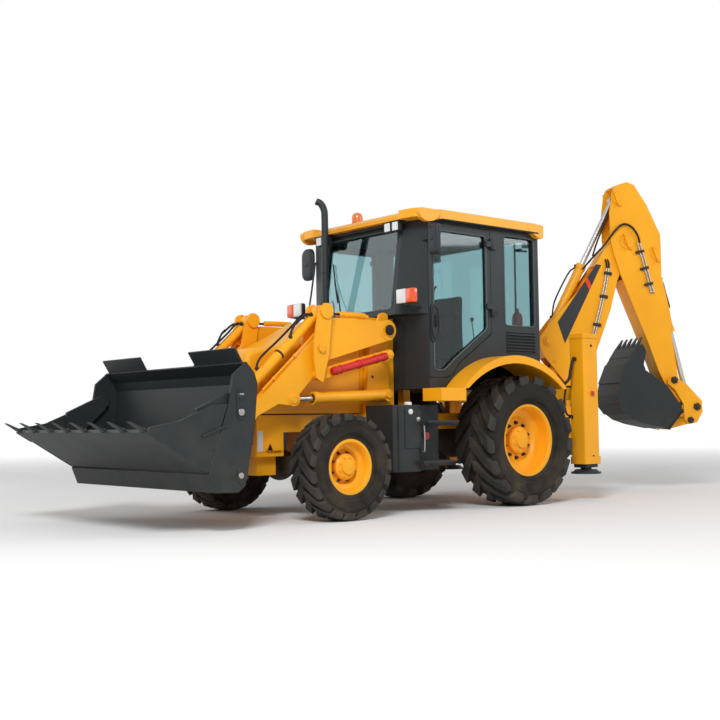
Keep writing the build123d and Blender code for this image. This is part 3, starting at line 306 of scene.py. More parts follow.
def rounded(outline: list[Pair], radius: float, steps: int = 4) -> np.ndarray:
    """Outline whose corners are replaced by quadratic curves between points a radius before and after them.

    Args:
        outline: Corners in order.
        radius: Distance from a corner to where its curve starts, at most half of each side.
        steps: Points on each curve less one.

    Returns:
        Array of shape (n, 2).
    """
    p = np.array(outline, float)
    before, after = np.roll(p, 1, axis=0) - p, np.roll(p, -1, axis=0) - p
    reach = [np.linalg.norm(d, axis=1, keepdims=True) for d in (before, after)]
    a = p + before / reach[0] * np.minimum(radius, reach[0] * 0.48)
    b = p + after / reach[1] * np.minimum(radius, reach[1] * 0.48)
    t = np.linspace(0, 1, steps + 1)[None, :, None]
    curve = (1 - t) ** 2 * a[:, None] + 2 * t * (1 - t) * p[:, None] + t**2 * b[:, None]
    return curve.reshape(-1, 2)


def panel(x0: float, y0: float, x1: float, y1: float, radius: float, steps: int = 4) -> np.ndarray:
    """Rounded rectangle between two opposite corners, as an outline."""
    return rounded([(x0, y0), (x1, y0), (x1, y1), (x0, y1)], radius, steps)


def anticlockwise(pairs: np.ndarray) -> np.ndarray:
    """Return an outline with its corners in the order that gives it a positive area."""
    area = np.sum(pairs[:, 0] * np.roll(pairs[:, 1], -1) - np.roll(pairs[:, 0], -1) * pairs[:, 1])
    return pairs[::-1] if area < 0 else pairs


def plate(outline: Outline, origin: Point, u: Point, v: Point, low: float, high: float) -> Shape:
    """Flat outline given in the directions u and v, drawn out along u x v.

    Args:
        outline: Corners in either order.
        origin: Point of the outline's own origin.
        u: Unit direction of the first number.
        v: Unit direction of the second number.
        low: Distance along u x v of the first face.
        high: Distance of the second face.

    Returns:
        A closed prism.
    """
    pairs = anticlockwise(np.array(outline, float))
    w = np.cross(u, v)
    flat = np.array(origin) + pairs[:, :1] * np.array(u) + pairs[:, 1:] * np.array(v)
    return Shape().add(np.vstack([flat + w * low, flat + w * high]), barrel_faces(2, len(pairs)))


def side_plate(outline: Outline, y0: float, y1: float) -> Shape:
    """Outline of (x, z) corners, drawn out from y0 to y1."""
    return plate(outline, (0, 0, 0), (1, 0, 0), (0, 0, 1), -max(y0, y1), -min(y0, y1))


def front_plate(outline: Outline, x0: float, x1: float) -> Shape:
    """Outline of (y, z) corners, drawn out from x0 to x1."""
    return plate(outline, (0, 0, 0), (0, 1, 0), (0, 0, 1), min(x0, x1), max(x0, x1))


def button(centre: Point, axis: Point, radius: float, height: float, segments: int = 24) -> Shape:
    """Round head with a softened rim, standing on a point: a short turned profile.

    Args:
        centre: Middle of its foot, which reaches FOOT_DEPTH below it.
        axis: Direction in which it stands.
        radius: Its radius.
        height: Its height.
        segments: Points round it, six for a hexagon.

    Returns:
        The head.
    """
    r, h = radius, height
    profile = [(0, -FOOT_DEPTH), (r, -FOOT_DEPTH), (r, h * 0.7), (r * 0.93, h * 0.93), (r * 0.8, h), (0, h)]
    return lathe(profile, Vector(centre), Vector(axis), segments)


def hose_nut(foot: Vector, axis: Vector, radius: float, height: float, neck: float) -> Shape:
    """Hexagonal nut of a hose end: straight sides and a short slope up to its neck.

    Args:
        foot: Middle of its foot.
        axis: Direction in which it stands.
        radius: Half its width over the corners.
        height: Height of the straight sides.
        neck: Radius at the top of the slope.

    Returns:
        The nut.
    """
    top = height + NUT_SLOPE
    return lathe([(0, 0), (radius, 0), (radius, height), (neck, top), (0, top)], foot, axis, 6)


def hose(controls: list[Point], radius: float, segments: int = 10) -> Shape:
    """Round hose through its control points."""
    return tube(smooth_path(controls, 7), radius, segments)


# ---------------------------------------------------------------- shader groups and finishes


class Graph:
    """Short way to add and join nodes in one node tree."""

    def __init__(self, tree: bpy.types.NodeTree) -> None:
        """Work on this tree."""
        self.tree = tree

    def node(self, kind: str, **values: object) -> bpy.types.Node:
        """Add a node.

        Args:
            kind: Node type without its ShaderNode prefix.
            values: Attributes of the node.

        Returns:
            The new node.
        """
        made = self.tree.nodes.new("ShaderNode" + kind if not kind.startswith("NodeGroup") else kind)
        for key, value in values.items():
            setattr(made, key, value)
        return made

    def join(self, source: Socket, target: Socket) -> None:
        """Link two sockets."""
        self.tree.links.new(source, target)

    def feed(self, target: Socket, value: object) -> None:
        """Give an input a value, or link it when the value is a socket."""
        if isinstance(value, Socket):
            self.join(value, target)
        else:
            target.default_value = value

    def math(self, operation: str, a: object, b: object = 0.0, clamp: bool = False) -> Socket:
        """Add a Math node whose inputs are sockets or numbers.

        Args:
            operation: Name of the operation.
            a: First input.
            b: Second input.
            clamp: Keep the result between nought and one.

        Returns:
            The output socket.
        """
        made = self.node("Math", operation=operation, use_clamp=clamp)
        self.feed(made.inputs[0], a)
        self.feed(made.inputs[1], b)
        return made.outputs[0]

    def mix(self, factor: object, a: object, b: object) -> Socket:
        """Add a colour Mix node whose inputs are sockets or values.

        Args:
            factor: Share of the second colour.
            a: First colour.
            b: Second colour.

        Returns:
            The output socket.
        """
        made = self.node("Mix", data_type="RGBA")
        for index, value in ((0, factor), (6, a), (7, b)):
            self.feed(made.inputs[index], value)
        return made.outputs[2]

    def noise(self, coordinates: Socket, scale: object, detail: float = 3.0) -> Socket:
        """Add a Noise texture.

        Args:
            coordinates: Where it is read.
            scale: Its scale, a socket or a number.
            detail: Its octaves.

        Returns:
            The value socket.
        """
        made = self.node("TexNoise")
        made.inputs["Detail"].default_value = detail
        self.join(coordinates, made.inputs["Vector"])
        self.feed(made.inputs["Scale"], scale)
        return made.outputs[0]

    def ramp(self, value: Socket, low: float, high: float) -> Socket:
        """Map a value from low..high to 0..1, clamped.

        Args:
            value: The value socket.
            low: Value that gives nought.
            high: Value that gives one.

        Returns:
            The output socket.
        """
        made = self.node("MapRange")
        made.inputs["From Min"].default_value = low
        made.inputs["From Max"].default_value = high
        self.join(value, made.inputs["Value"])
        return made.outputs[0]


def new_group(name: str, inputs: dict[str, float | Colour], outputs: dict[str, str]) -> tuple:
    """Make an empty shader group with named sockets.

    Args:
        name: Name of the group.
        inputs: First value by name, a number or a colour.
        outputs: Kind of socket by name.

    Returns:
        The tree, its graph, its input node and its output node.
    """
    tree = bpy.data.node_groups.new(name, "ShaderNodeTree")
    for key, value in inputs.items():
        kind = "Color" if isinstance(value, tuple) else "Float"
        socket = tree.interface.new_socket(name=key, in_out="INPUT", socket_type=f"NodeSocket{kind}")
        socket.default_value = value
    for key, kind in outputs.items():
        tree.interface.new_socket(name=key, in_out="OUTPUT", socket_type=f"NodeSocket{kind}")
    graph = Graph(tree)
    return tree, graph, graph.node("NodeGroupInput"), graph.node("NodeGroupOutput")


def edge_wear_group() -> bpy.types.NodeTree:
    """Group that finds rounded edges: the bevelled normal leans away from the true one there.

    Returns:
        The group, with outputs Mask and Normal.
    """
    tree, g, source, target = new_group("edge_wear", {"Radius": 0.006, "Amount": 0.5, "Scale": 30.0},
                                        {"Mask": "Float", "Normal": "Vector"})
    bevel = g.node("Bevel", samples=4)
    g.join(source.outputs["Radius"], bevel.inputs["Radius"])
    geometry = g.node("NewGeometry")
    dot = g.node("VectorMath", operation="DOT_PRODUCT")
    g.join(bevel.outputs[0], dot.inputs[0])
    g.join(geometry.outputs["Normal"], dot.inputs[1])
    lean = g.ramp(g.math("SUBTRACT", 1.0, dot.outputs["Value"]), 0.02, 0.22)
    coordinates = g.node("TexCoord").outputs["Object"]
    patchy = g.ramp(g.noise(coordinates, source.outputs["Scale"], 5.0), 0.5, 0.68)
    mask = g.math("MULTIPLY", g.math("MULTIPLY", lean, patchy), source.outputs["Amount"], clamp=True)
    g.join(mask, target.inputs["Mask"])
    g.join(bevel.outputs[0], target.inputs["Normal"])
    return tree


def dust_group() -> bpy.types.NodeTree:
    """Group that lays dust on faces that look up and on what stands near the ground, broken by noise.

    Returns:
        The group, with outputs Color and Mask.
    """
    tree, g, source, target = new_group(
        "dust", {"Base": (0.5, 0.5, 0.5, 1), "Dust": (0.28, 0.21, 0.14, 1), "Amount": 0.2, "Scale": 6.0},
        {"Color": "Color", "Mask": "Float"})
    coordinates = g.node("TexCoord").outputs["Object"]
    normal = g.node("SeparateXYZ")
    g.join(g.node("NewGeometry").outputs["Normal"], normal.inputs[0])
    height = g.node("SeparateXYZ")
    g.join(coordinates, height.inputs[0])
    upward = g.math("MULTIPLY", g.ramp(normal.outputs["Z"], 0.2, 1.0), 0.45)
    low = g.ramp(height.outputs["Z"], 1.3, 0.1)
    cloud = g.ramp(g.noise(coordinates, source.outputs["Scale"], 6.0), 0.36, 0.72)
    mask = g.math("MULTIPLY", g.math("ADD", upward, low), cloud)
    mask = g.math("MULTIPLY", mask, source.outputs["Amount"], clamp=True)
    g.join(g.mix(mask, source.outputs["Base"], source.outputs["Dust"]), target.inputs["Color"])
    g.join(mask, target.inputs["Mask"])
    return tree


def grain_group() -> bpy.types.NodeTree:
    """Group with a fine surface height and a slow change of tone.

    Returns:
        The group, with outputs Height and Tone.
    """
    tree, g, source, target = new_group("grain", {"Fine": 400.0, "Coarse": 3.0}, {"Height": "Float", "Tone": "Float"})
    coordinates = g.node("TexCoord").outputs["Object"]
    g.join(g.noise(coordinates, source.outputs["Fine"], 2.0), target.inputs["Height"])
    g.join(g.ramp(g.noise(coordinates, source.outputs["Coarse"], 4.0), 0.3, 0.7), target.inputs["Tone"])
    return tree


class ShaderGroups:
    """The groups that the finishes share, each built once."""

    def __init__(self) -> None:
        """Build the three groups."""
        self.edge_wear = edge_wear_group()
        self.dust = dust_group()
        self.grain = grain_group()


def colour(red: float, green: float, blue: float) -> Colour:
    """Turn display values into a linear colour.

    Args:
        red: Display value between 0 and 255.
        green: The same for green.
        blue: The same for blue.

    Returns:
        The colour with full alpha.
    """
    share = np.array((red, green, blue)) / 255
    linear = np.where(share <= 0.04045, share / 12.92, ((share + 0.055) / 1.055) ** 2.4)
    return (*linear.tolist(), 1.0)


def new_material(name: str, values: dict[str, object]) -> tuple[bpy.types.Material, Graph, bpy.types.Node]:
    """Make a material with one surface shader.

    Args:
        name: Its name.
        values: The shader's input values by name.

    Returns:
        The material, its graph and its shader.
    """
    made = bpy.data.materials.new(name)
    made.use_nodes = True
    shader = made.node_tree.nodes["Principled BSDF"]
    for key, value in values.items():
        shader.inputs[key].default_value = value
    return made, Graph(made.node_tree), shader


@dataclass(frozen=True)
class Finish:
    """A surface finish, made into a node material.

    Attributes:
        name: Name of the material.
        slot: The record's material slot that it stands for.
        base: Linear base colour.
        worn: Colour where edges are worn.
        roughness: Roughness of the clean surface.
        metallic: Metallic share.
        coat: Clear coat weight.
        wear: Strength of edge wear.
        bevel: Radius of the shaded edge rounding, metres.
        dust: Strength of dust and soil.
        fine: Scale of the fine grain.
        bump: Height of the fine grain, metres.
        tone: Strength of the slow change of tone.
        specular: Level of the plain surface reflection.
    """

    name: str
    slot: str
    base: Colour
    worn: Colour
    roughness: float
    metallic: float = 0.0
    coat: float = 0.0
    wear: float = 0.3
    bevel: float = 0.006
    dust: float = 0.2
    fine: float = 350.0
    bump: float = 0.0002
    tone: float = 0.08
    specular: float = 0.5

    def material(self, groups: ShaderGroups) -> bpy.types.Material:
        """Build the material.

        Args:
            groups: The shared shader groups.

        Returns:
            The material, reading Object coordinates only.
        """
        made, g, shader = new_material(self.name, {
            "Metallic": self.metallic, "Specular IOR Level": self.specular, "Coat Weight": self.coat,
            "Coat Roughness": 0.12})
        grain = self.group(g, groups.grain, {"Fine": self.fine, "Coarse": 2.5})
        wear = self.group(g, groups.edge_wear, {"Radius": self.bevel, "Amount": self.wear, "Scale": 28.0})
        dust = self.group(g, groups.dust, {"Amount": self.dust, "Scale": 5.0})
        dark = tuple(c * (1 - self.tone) for c in self.base[:3]) + (1.0,)
        light = tuple(min(1.0, c * (1 + self.tone)) for c in self.base[:3]) + (1.0,)
        toned = g.mix(grain.outputs["Tone"], dark, light)
        g.join(g.mix(wear.outputs["Mask"], toned, self.worn), dust.inputs["Base"])
        g.join(dust.outputs["Color"], shader.inputs["Base Color"])
        rough = g.math("ADD", g.math("MULTIPLY", dust.outputs["Mask"], 0.5), self.roughness)
        varied = g.math("ADD", rough, g.math("MULTIPLY", grain.outputs["Tone"], 0.06), clamp=True)
        g.join(varied, shader.inputs["Roughness"])
        bump = g.node("Bump")
        bump.inputs["Distance"].default_value = self.bump
        g.join(grain.outputs["Height"], bump.inputs["Height"])
        g.join(wear.outputs["Normal"], bump.inputs["Normal"])
        g.join(bump.outputs["Normal"], shader.inputs["Normal"])
        return made

    @staticmethod
    def group(graph: Graph, tree: bpy.types.NodeTree, values: dict[str, float]) -> bpy.types.Node:
        """Place a shared group in a material with its own values.

        Args:
            graph: The material's graph.
            tree: The group.
            values: Input values by name.

        Returns:
            The group node.
        """
        made = graph.node("Group", node_tree=tree)
        for key, value in values.items():
            made.inputs[key].default_value = value
        return made


@dataclass(frozen=True)
class Glazing:
    """A clear or tinted glass or lens.

    Attributes:
        name: Name of the material.
        slot: The record's material slot.
        base: Linear tint for one face of the pane.
        roughness: Roughness of the pane.
    """

    name: str
    slot: str
    base: Colour
    roughness: float = 0.02

    def material(self, groups: ShaderGroups) -> bpy.types.Material:
        """Build the glass, with a faint film of dust that changes its roughness.

        Args:
            groups: The shared shader groups.

        Returns:
            The material.
        """
        made, g, shader = new_material(self.name, {
            "Base Color": self.base, "Transmission Weight": 1.0, "IOR": 1.45})
        grain = Finish.group(g, groups.grain, {"Fine": 60.0, "Coarse": 4.0})
        film = g.math("ADD", g.math("MULTIPLY", grain.outputs["Tone"], 0.03), self.roughness)
        g.join(film, shader.inputs["Roughness"])
        return made


YELLOW = colour(250, 172, 22)
SCRAPED = colour(120, 92, 52)
LENS = {"coat": 0.5, "wear": 0.0, "dust": 0.02, "bump": 0.0}
FINISHES = (
    Finish("yellow_paint", "yellow_paint", YELLOW, SCRAPED, 0.38, coat=0.12, dust=0.14, tone=0.06, specular=0.3),
    Finish("dark_paint", "dark_paint", colour(42, 47, 49), colour(96, 97, 94), 0.42, wear=0.2, dust=0.08,
           specular=0.3),
    Finish("bucket_paint", "bucket_paint", colour(38, 44, 45), colour(128, 126, 118), 0.5, wear=0.55, dust=0.12,
           bump=0.0005, fine=160.0, specular=0.3),
    Finish("rubber", "tyre", colour(31, 29, 25), colour(58, 52, 44), 0.74, wear=0.15, bevel=0.008, dust=0.22,
           bump=0.0006, fine=180.0, tone=0.12, specular=0.25),
    # Lug rubber: paler than the carcass, with pale worn edges; partly ground scuffing, partly a painted highlight on
    # the lug tops and edges.
    Finish("lug_rubber_highlit", "tyre", colour(40, 41, 38), colour(112, 110, 102), 0.62, wear=0.5, bevel=0.01, bump=0.0005,
           fine=140.0, tone=0.12, specular=0.35),
    Finish("chrome", "chrome", (0.62, 0.62, 0.62, 1.0), (0.5, 0.5, 0.5, 1.0), 0.14, metallic=1.0, wear=0.0,
           dust=0.05, bump=0.0),
    Finish("cast_dark", "cast_dark", colour(52, 46, 38), colour(100, 88, 70), 0.6, dust=0.35, bump=0.001, specular=0.3),
    Finish("interior_plastic", "interior_plastic", colour(30, 32, 34), colour(60, 60, 60), 0.6, wear=0.1, dust=0.05,
           bump=0.0004, fine=500.0, specular=0.3),
    Finish("headliner", "interior_plastic", colour(96, 116, 112), colour(96, 116, 112), 0.8, wear=0.0, dust=0.0,
           bump=0.0006, fine=700.0, specular=0.2),
    Finish("seat_fabric", "seat_fabric", colour(34, 35, 40), colour(60, 60, 64), 0.85, wear=0.1, dust=0.05,
           bump=0.0008, fine=700.0, specular=0.2),
    Finish("red_paint", "red_paint", colour(200, 22, 26), colour(110, 50, 42), 0.35, coat=0.3, dust=0.1, specular=0.4),
    Finish("bright_steel", "steel", (0.45, 0.43, 0.4, 1.0), (0.6, 0.6, 0.6, 1.0), 0.35, metallic=1.0, wear=0.1),
    Finish("hose_rubber", "dark_paint", colour(20, 20, 22), colour(52, 50, 48), 0.5, wear=0.0, dust=0.1, fine=900.0,
           specular=0.3),
    Finish("step_rubber", "dark_paint", colour(26, 27, 28), colour(70, 66, 60), 0.8, wear=0.2, dust=0.25,
           bump=0.0006, fine=300.0, specular=0.2),
    Finish("gasket", "dark_paint", colour(84, 94, 94), colour(84, 94, 94), 0.6, wear=0.0, dust=0.04, bump=0.0001,
           specular=0.3),
    Finish("lamp_white", "lamp_lens", colour(222, 228, 228), colour(200, 200, 200), 0.12, **LENS),
    Finish("lamp_amber", "lamp_lens", colour(232, 84, 14), colour(200, 80, 30), 0.15, **LENS),
    Finish("beacon_amber", "lamp_lens", colour(226, 118, 26), colour(200, 100, 30), 0.2, **LENS),
    Finish("lamp_red", "lamp_lens", colour(196, 34, 22), colour(180, 60, 40), 0.2, coat=0.4, wear=0.0, dust=0.1,
           bump=0.0),
    Finish("mirror_glass", "chrome", (0.7, 0.72, 0.74, 1.0), (0.7, 0.7, 0.7, 1.0), 0.03, metallic=1.0, wear=0.0,
           dust=0.0, bump=0.0),
    Finish("white_plastic", "lamp_lens", colour(226, 226, 220), colour(190, 186, 178), 0.4, wear=0.1, dust=0.15),
    Finish("blank_plate", "steel", colour(214, 214, 210), colour(150, 150, 150), 0.4, wear=0.1, dust=0.1),
    Finish("stripe_grey", "dark_paint", colour(54, 55, 57), colour(86, 84, 80), 0.4, wear=0.1, dust=0.06,
           specular=0.3),
    Finish("stripe_red", "red_paint", colour(226, 74, 34), colour(120, 60, 50), 0.4, wear=0.1, dust=0.06,
           specular=0.3),
)
CAB_GLASS = Glazing("cab_glass", "glass", (0.43, 0.615, 0.635, 1.0))


def add_object(name: str, data: bpy.types.ID) -> bpy.types.Object:
    """Make an object of this data and put it in the scene."""
    made = bpy.data.objects.new(name, data)
    bpy.context.scene.collection.objects.link(made)
    return made


class Workshop:
    """Turns shapes into pieces with a finish, a body and a slot."""

    def __init__(self) -> None:
        """Build every material once."""
        groups = ShaderGroups()
        finishes = (*FINISHES, CAB_GLASS)
        self.materials = {f.name: f.material(groups) for f in finishes}
        self.slots = {f.name: f.slot for f in finishes}
        self.body_of: dict[str, str] = {}

    def piece(self, name: str, shape: Shape, finish: str, body: str | None = "chassis", smooth: float = 30.0,
              replaces: tuple[str, ...] = ()) -> bpy.types.Object:
        """Make a piece that rides on a body.

        Args:
            name: Name of the piece.
            shape: Its points and faces.
            finish: Name of its finish.
            body: Body that it moves with, or None for a piece that is blended between two.
            smooth: Faces that meet at less than this angle, in degrees, are shaded as one.
            replaces: CAD nodes that it stands for.

        Returns:
            The new object, with its place in its mesh.
        """
        mesh = bpy.data.meshes.new(name)
        mesh.from_pydata(np.concatenate(shape.points).tolist(), [], shape.faces)
        mesh.update()
        mesh.materials.append(self.materials[finish])
        made = add_object(name, mesh)
        if smooth:
            mesh.shade_smooth()
            mesh.set_sharp_from_angle(angle=math.radians(smooth))
        if body:
            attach(made, body)
        if replaces:
            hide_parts(*replaces)
        log.info("%s: %d faces on %s", name, len(mesh.polygons), body)
        return made

    def dress(self, node: bpy.types.Object, finish: str) -> None:
        """Give a CAD node its finish.

        Args:
            node: The node's object.
            finish: Name of the finish.
        """
        if not node.material_slots:
            node.data.materials.append(self.materials[finish])
        for place in node.material_slots:
            place.material = self.materials[finish]


# What a CAD node wears: by its slot where the finish has another name, or by its own name.
SLOT_FINISH = {"tyre": "rubber", "steel": "bright_steel", "glass": "cab_glass", "lamp_lens": "lamp_white"}
NODE_FINISH = {"tilt_ram_pins": "yellow_paint", "bucket_pins": "yellow_paint"}


@dataclass
class Dresser:
    """A part of the machine that has pieces of its own.

    Attributes:
        shop: Maker of pieces.
    """

    shop: Workshop


# ---------------------------------------------------------------- wheels


class TreadHand(Enum):
    """Which way the lugs of a tyre point."""

    FORWARD = 1
    BACKWARD = -1


@dataclass
class Tyre(Dresser):
    """A lugged tyre, in place of its plain ring.

    Attributes:
        node: Name of the CAD ring, and the stem of the piece's name.
        body: Body of the wheel.
        lugs: Lugs in each of the two rows.
        lug_height: Height of a lug.
        lug_share: Share of the pitch that a lug takes.
        sweep: Turn of a lug from the middle to the shoulder, in pitches.
        rim_radius: Radius of the bead.
        hand: Which way the lugs point.
    """

    node: str
    body: str
    lugs: int
    lug_height: float
    lug_share: float
    sweep: float
    rim_radius: float
    hand: TreadHand = TreadHand.FORWARD

    def measure(self) -> None:
        """Read the centre, radius and width from the frame."""
        low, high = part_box(self.node)
        self.centre = (low + high) / 2
        self.radius = (high.z - low.z) / 2
        self.half = (high.y - low.y) / 2

    def carcass(self) -> Shape:
        """Ring whose section runs from bead to bead over bulged walls with three raised rings and a crowned band."""
        r0, r1, w = self.rim_radius, self.radius - self.lug_height, self.half
        wall = r1 - r0
        profile = [(r0 - 0.006, -0.7 * w), (r0 + 0.02, -0.78 * w), (r0 + 0.06, -0.84 * w)]
        t = np.linspace(0.0, 1.0, 33)
        rings = 0.006 * (np.exp(-((t - 0.16) / 0.035) ** 2) + np.exp(-((t - 0.74) / 0.03) ** 2)
                         + np.exp(-((t - 0.86) / 0.03) ** 2))
        reach = w * (0.85 + 0.12 * np.sin(np.pi * (0.15 + 0.7 * t))) + rings
        bulge = list(zip(r0 + 0.06 + (wall - 0.1) * t, -reach))
        crown = [(r1 - 0.035 + 0.035 * math.cos(a), w * 0.93 * math.sin(a)) for a in np.linspace(-1.35, 1.35, 11)]
        right = profile + bulge
        left = [(r, -y) for r, y in right[::-1]]
        return lathe(right + crown + left + profile[:1], self.centre, Vector((0, 1, 0)), 96)

    def lug_row(self, end: int) -> Shape:
        """One row of lugs, from the middle to the shoulder and down the wall.

        Each station along a lug has a place across the tyre, a radius for its top, a turn about the axle and a
        half width in turn, and the section between its foot and its top narrows upwards.

        Args:
            end: 1 for the row on the +Y side, or -1.

        Returns:
            All lugs of the row.
        """
        pitch = 2 * math.pi / self.lugs
        w = self.half
        # place across, drop of the top below the full radius, turn in pitches, half width in pitches
        stations = np.array([
            (-0.06, 0.000, 0.00, 0.46), (0.25, 0.002, 0.26, 0.48), (0.6, 0.005, 0.62, 0.52),
            (0.9, 0.01, 0.88, 0.6), (0.99, 0.03, 0.94, 0.62), (1.00, 0.072, 0.96, 0.56),
        ])
        across = stations[:, 0] * w * end
        top = self.radius - stations[:, 1] * (self.half / 0.2)
        foot = top - self.lug_height * 1.35
        inward = np.array((0, 0, 0, 0.012, 0.035, 0.045)) * -end
        turn = stations[:, 2] * self.sweep * pitch * self.hand.value + (0.25 * pitch * end)
        half = stations[:, 3] * self.lug_share * pitch
        shape = Shape()
        corner_turn = np.stack([turn - half * 1.06, turn - half * 0.9, turn + half * 0.9, turn + half * 1.06], axis=1)
        corner_radius = np.stack([foot, top, top, foot], axis=1)
        corner_across = np.stack([across + inward, across, across, across + inward], axis=1)
        last = (len(stations) - 1) * 4
        faces = grid_faces(len(stations), 4).tolist() + [[1, 2, 3, 0], [last + 3, last + 2, last + 1, last]]
        if end * self.hand.value > 0:
            faces = [f[::-1] for f in faces]
        for index in range(self.lugs):
            a = corner_turn + index * pitch
            points = np.stack([np.sin(a) * corner_radius, corner_across, np.cos(a) * corner_radius], axis=-1)
            shape.add(points.reshape(-1, 3) + np.array(self.centre), faces)
        return shape

    def build(self) -> None:
        """Make the carcass and its lugs, in a paler rubber with pale edges: partly rubbed by the ground, partly a
        painted highlight on the lug tops against painted shade in the grooves.
        """
        self.measure()
        lugs = Shape()
        for end in (1, -1):
            lugs.extend(self.lug_row(end))
        self.shop.piece(f"{self.node}_carcass", self.carcass(), "rubber", self.body, 40.0, (self.node,))
        # The paler lug rubber is partly a painted highlight on the lug tops, leaving the darker carcass as painted
        # shade in the grooves.
        self.shop.piece(f"{self.node}_lugs", lugs, "lug_rubber_highlit", self.body, 25.0)


@dataclass
class WheelDress(Dresser):
    """Wheel nuts, hub bolts and valve of one rim.

    Attributes:
        node: The rim's CAD node.
        body: Body of the wheel.
        side: LEFT or RIGHT.
        nuts: Number of wheel nuts.
        nut_circle: Radius of their circle.
        nut_radius: Half width of a nut.
        hub_radius: Radius of the hub drum.
        track: Distance from the middle plane to the middle of the wheel.
    """

    node: str
    body: str
    side: int
    nuts: int
    nut_circle: float
    nut_radius: float
    hub_radius: float
    track: float

    def ring(self, count: int, circle: float, out: float, profile: list[Pair], sides: int) -> Shape:
        """Turned heads spaced evenly round the axle.

        Args:
            count: How many.
            circle: Radius of their circle.
            out: Distance from the middle plane to their feet.
            profile: Radius and height of a head.
            sides: Points round each head.

        Returns:
            All the heads.
        """
        shape = Shape()
        for index in range(count):
            angle = 2 * math.pi * (index + 0.5) / count
            foot = Vector((self.centre.x + circle * math.cos(angle), self.side * out,
                           self.centre.z + circle * math.sin(angle)))
            shape.extend(lathe(profile, foot, Vector((0, self.side, 0)), sides))
        return shape

    def build(self) -> None:
        """Make the nuts, the hub bolts and the valve."""
        low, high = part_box(self.node)
        self.centre = (low + high) / 2
        face = self.track + 0.03
        r = self.nut_radius
        nut = [(0, 0.0), (r * 1.35, 0.0), (r * 1.35, 0.004), (r, 0.005), (r, 0.022), (r * 0.6, 0.024),
               (r * 0.6, 0.036), (0, 0.038)]
        nuts = self.ring(self.nuts, self.nut_circle, face - 0.022, nut, 12)
        self.shop.piece(f"{self.node}_nuts", nuts, "cast_dark", self.body, 30.0)
        bolt = [(0, 0.0), (0.011, 0.0), (0.011, 0.01), (0.009, 0.012), (0, 0.012)]
        heads = self.ring(8, self.hub_radius * 0.74, face + 0.047, bolt, 6)
        stem = Vector((self.centre.x, self.side * (face + 0.018), self.centre.z + self.nut_circle * 1.22))
        heads.extend(lathe([(0, 0), (0.006, 0), (0.006, 0.03), (0.004, 0.045), (0, 0.045)], stem,
                           Vector((0, self.side, 0.3)), 10))
        self.shop.piece(f"{self.node}_hub_bolts", heads, "yellow_paint", self.body)


TYRES = {
    "front": {"lugs": 19, "lug_height": 0.03, "lug_share": 0.62, "sweep": 1.1, "rim_radius": 0.23},
    "rear": {"lugs": 17, "lug_height": 0.042, "lug_share": 0.54, "sweep": 1.3, "rim_radius": 0.352},
}
RIMS = {
    "front": {"nuts": 8, "nut_circle": 0.13, "nut_radius": 0.01, "hub_radius": 0.118, "track": 0.93},
    "rear": {"nuts": 10, "nut_circle": 0.18, "nut_radius": 0.016, "hub_radius": 0.14, "track": 0.895},
}


# ---------------------------------------------------------------- lamps, mirrors and stack


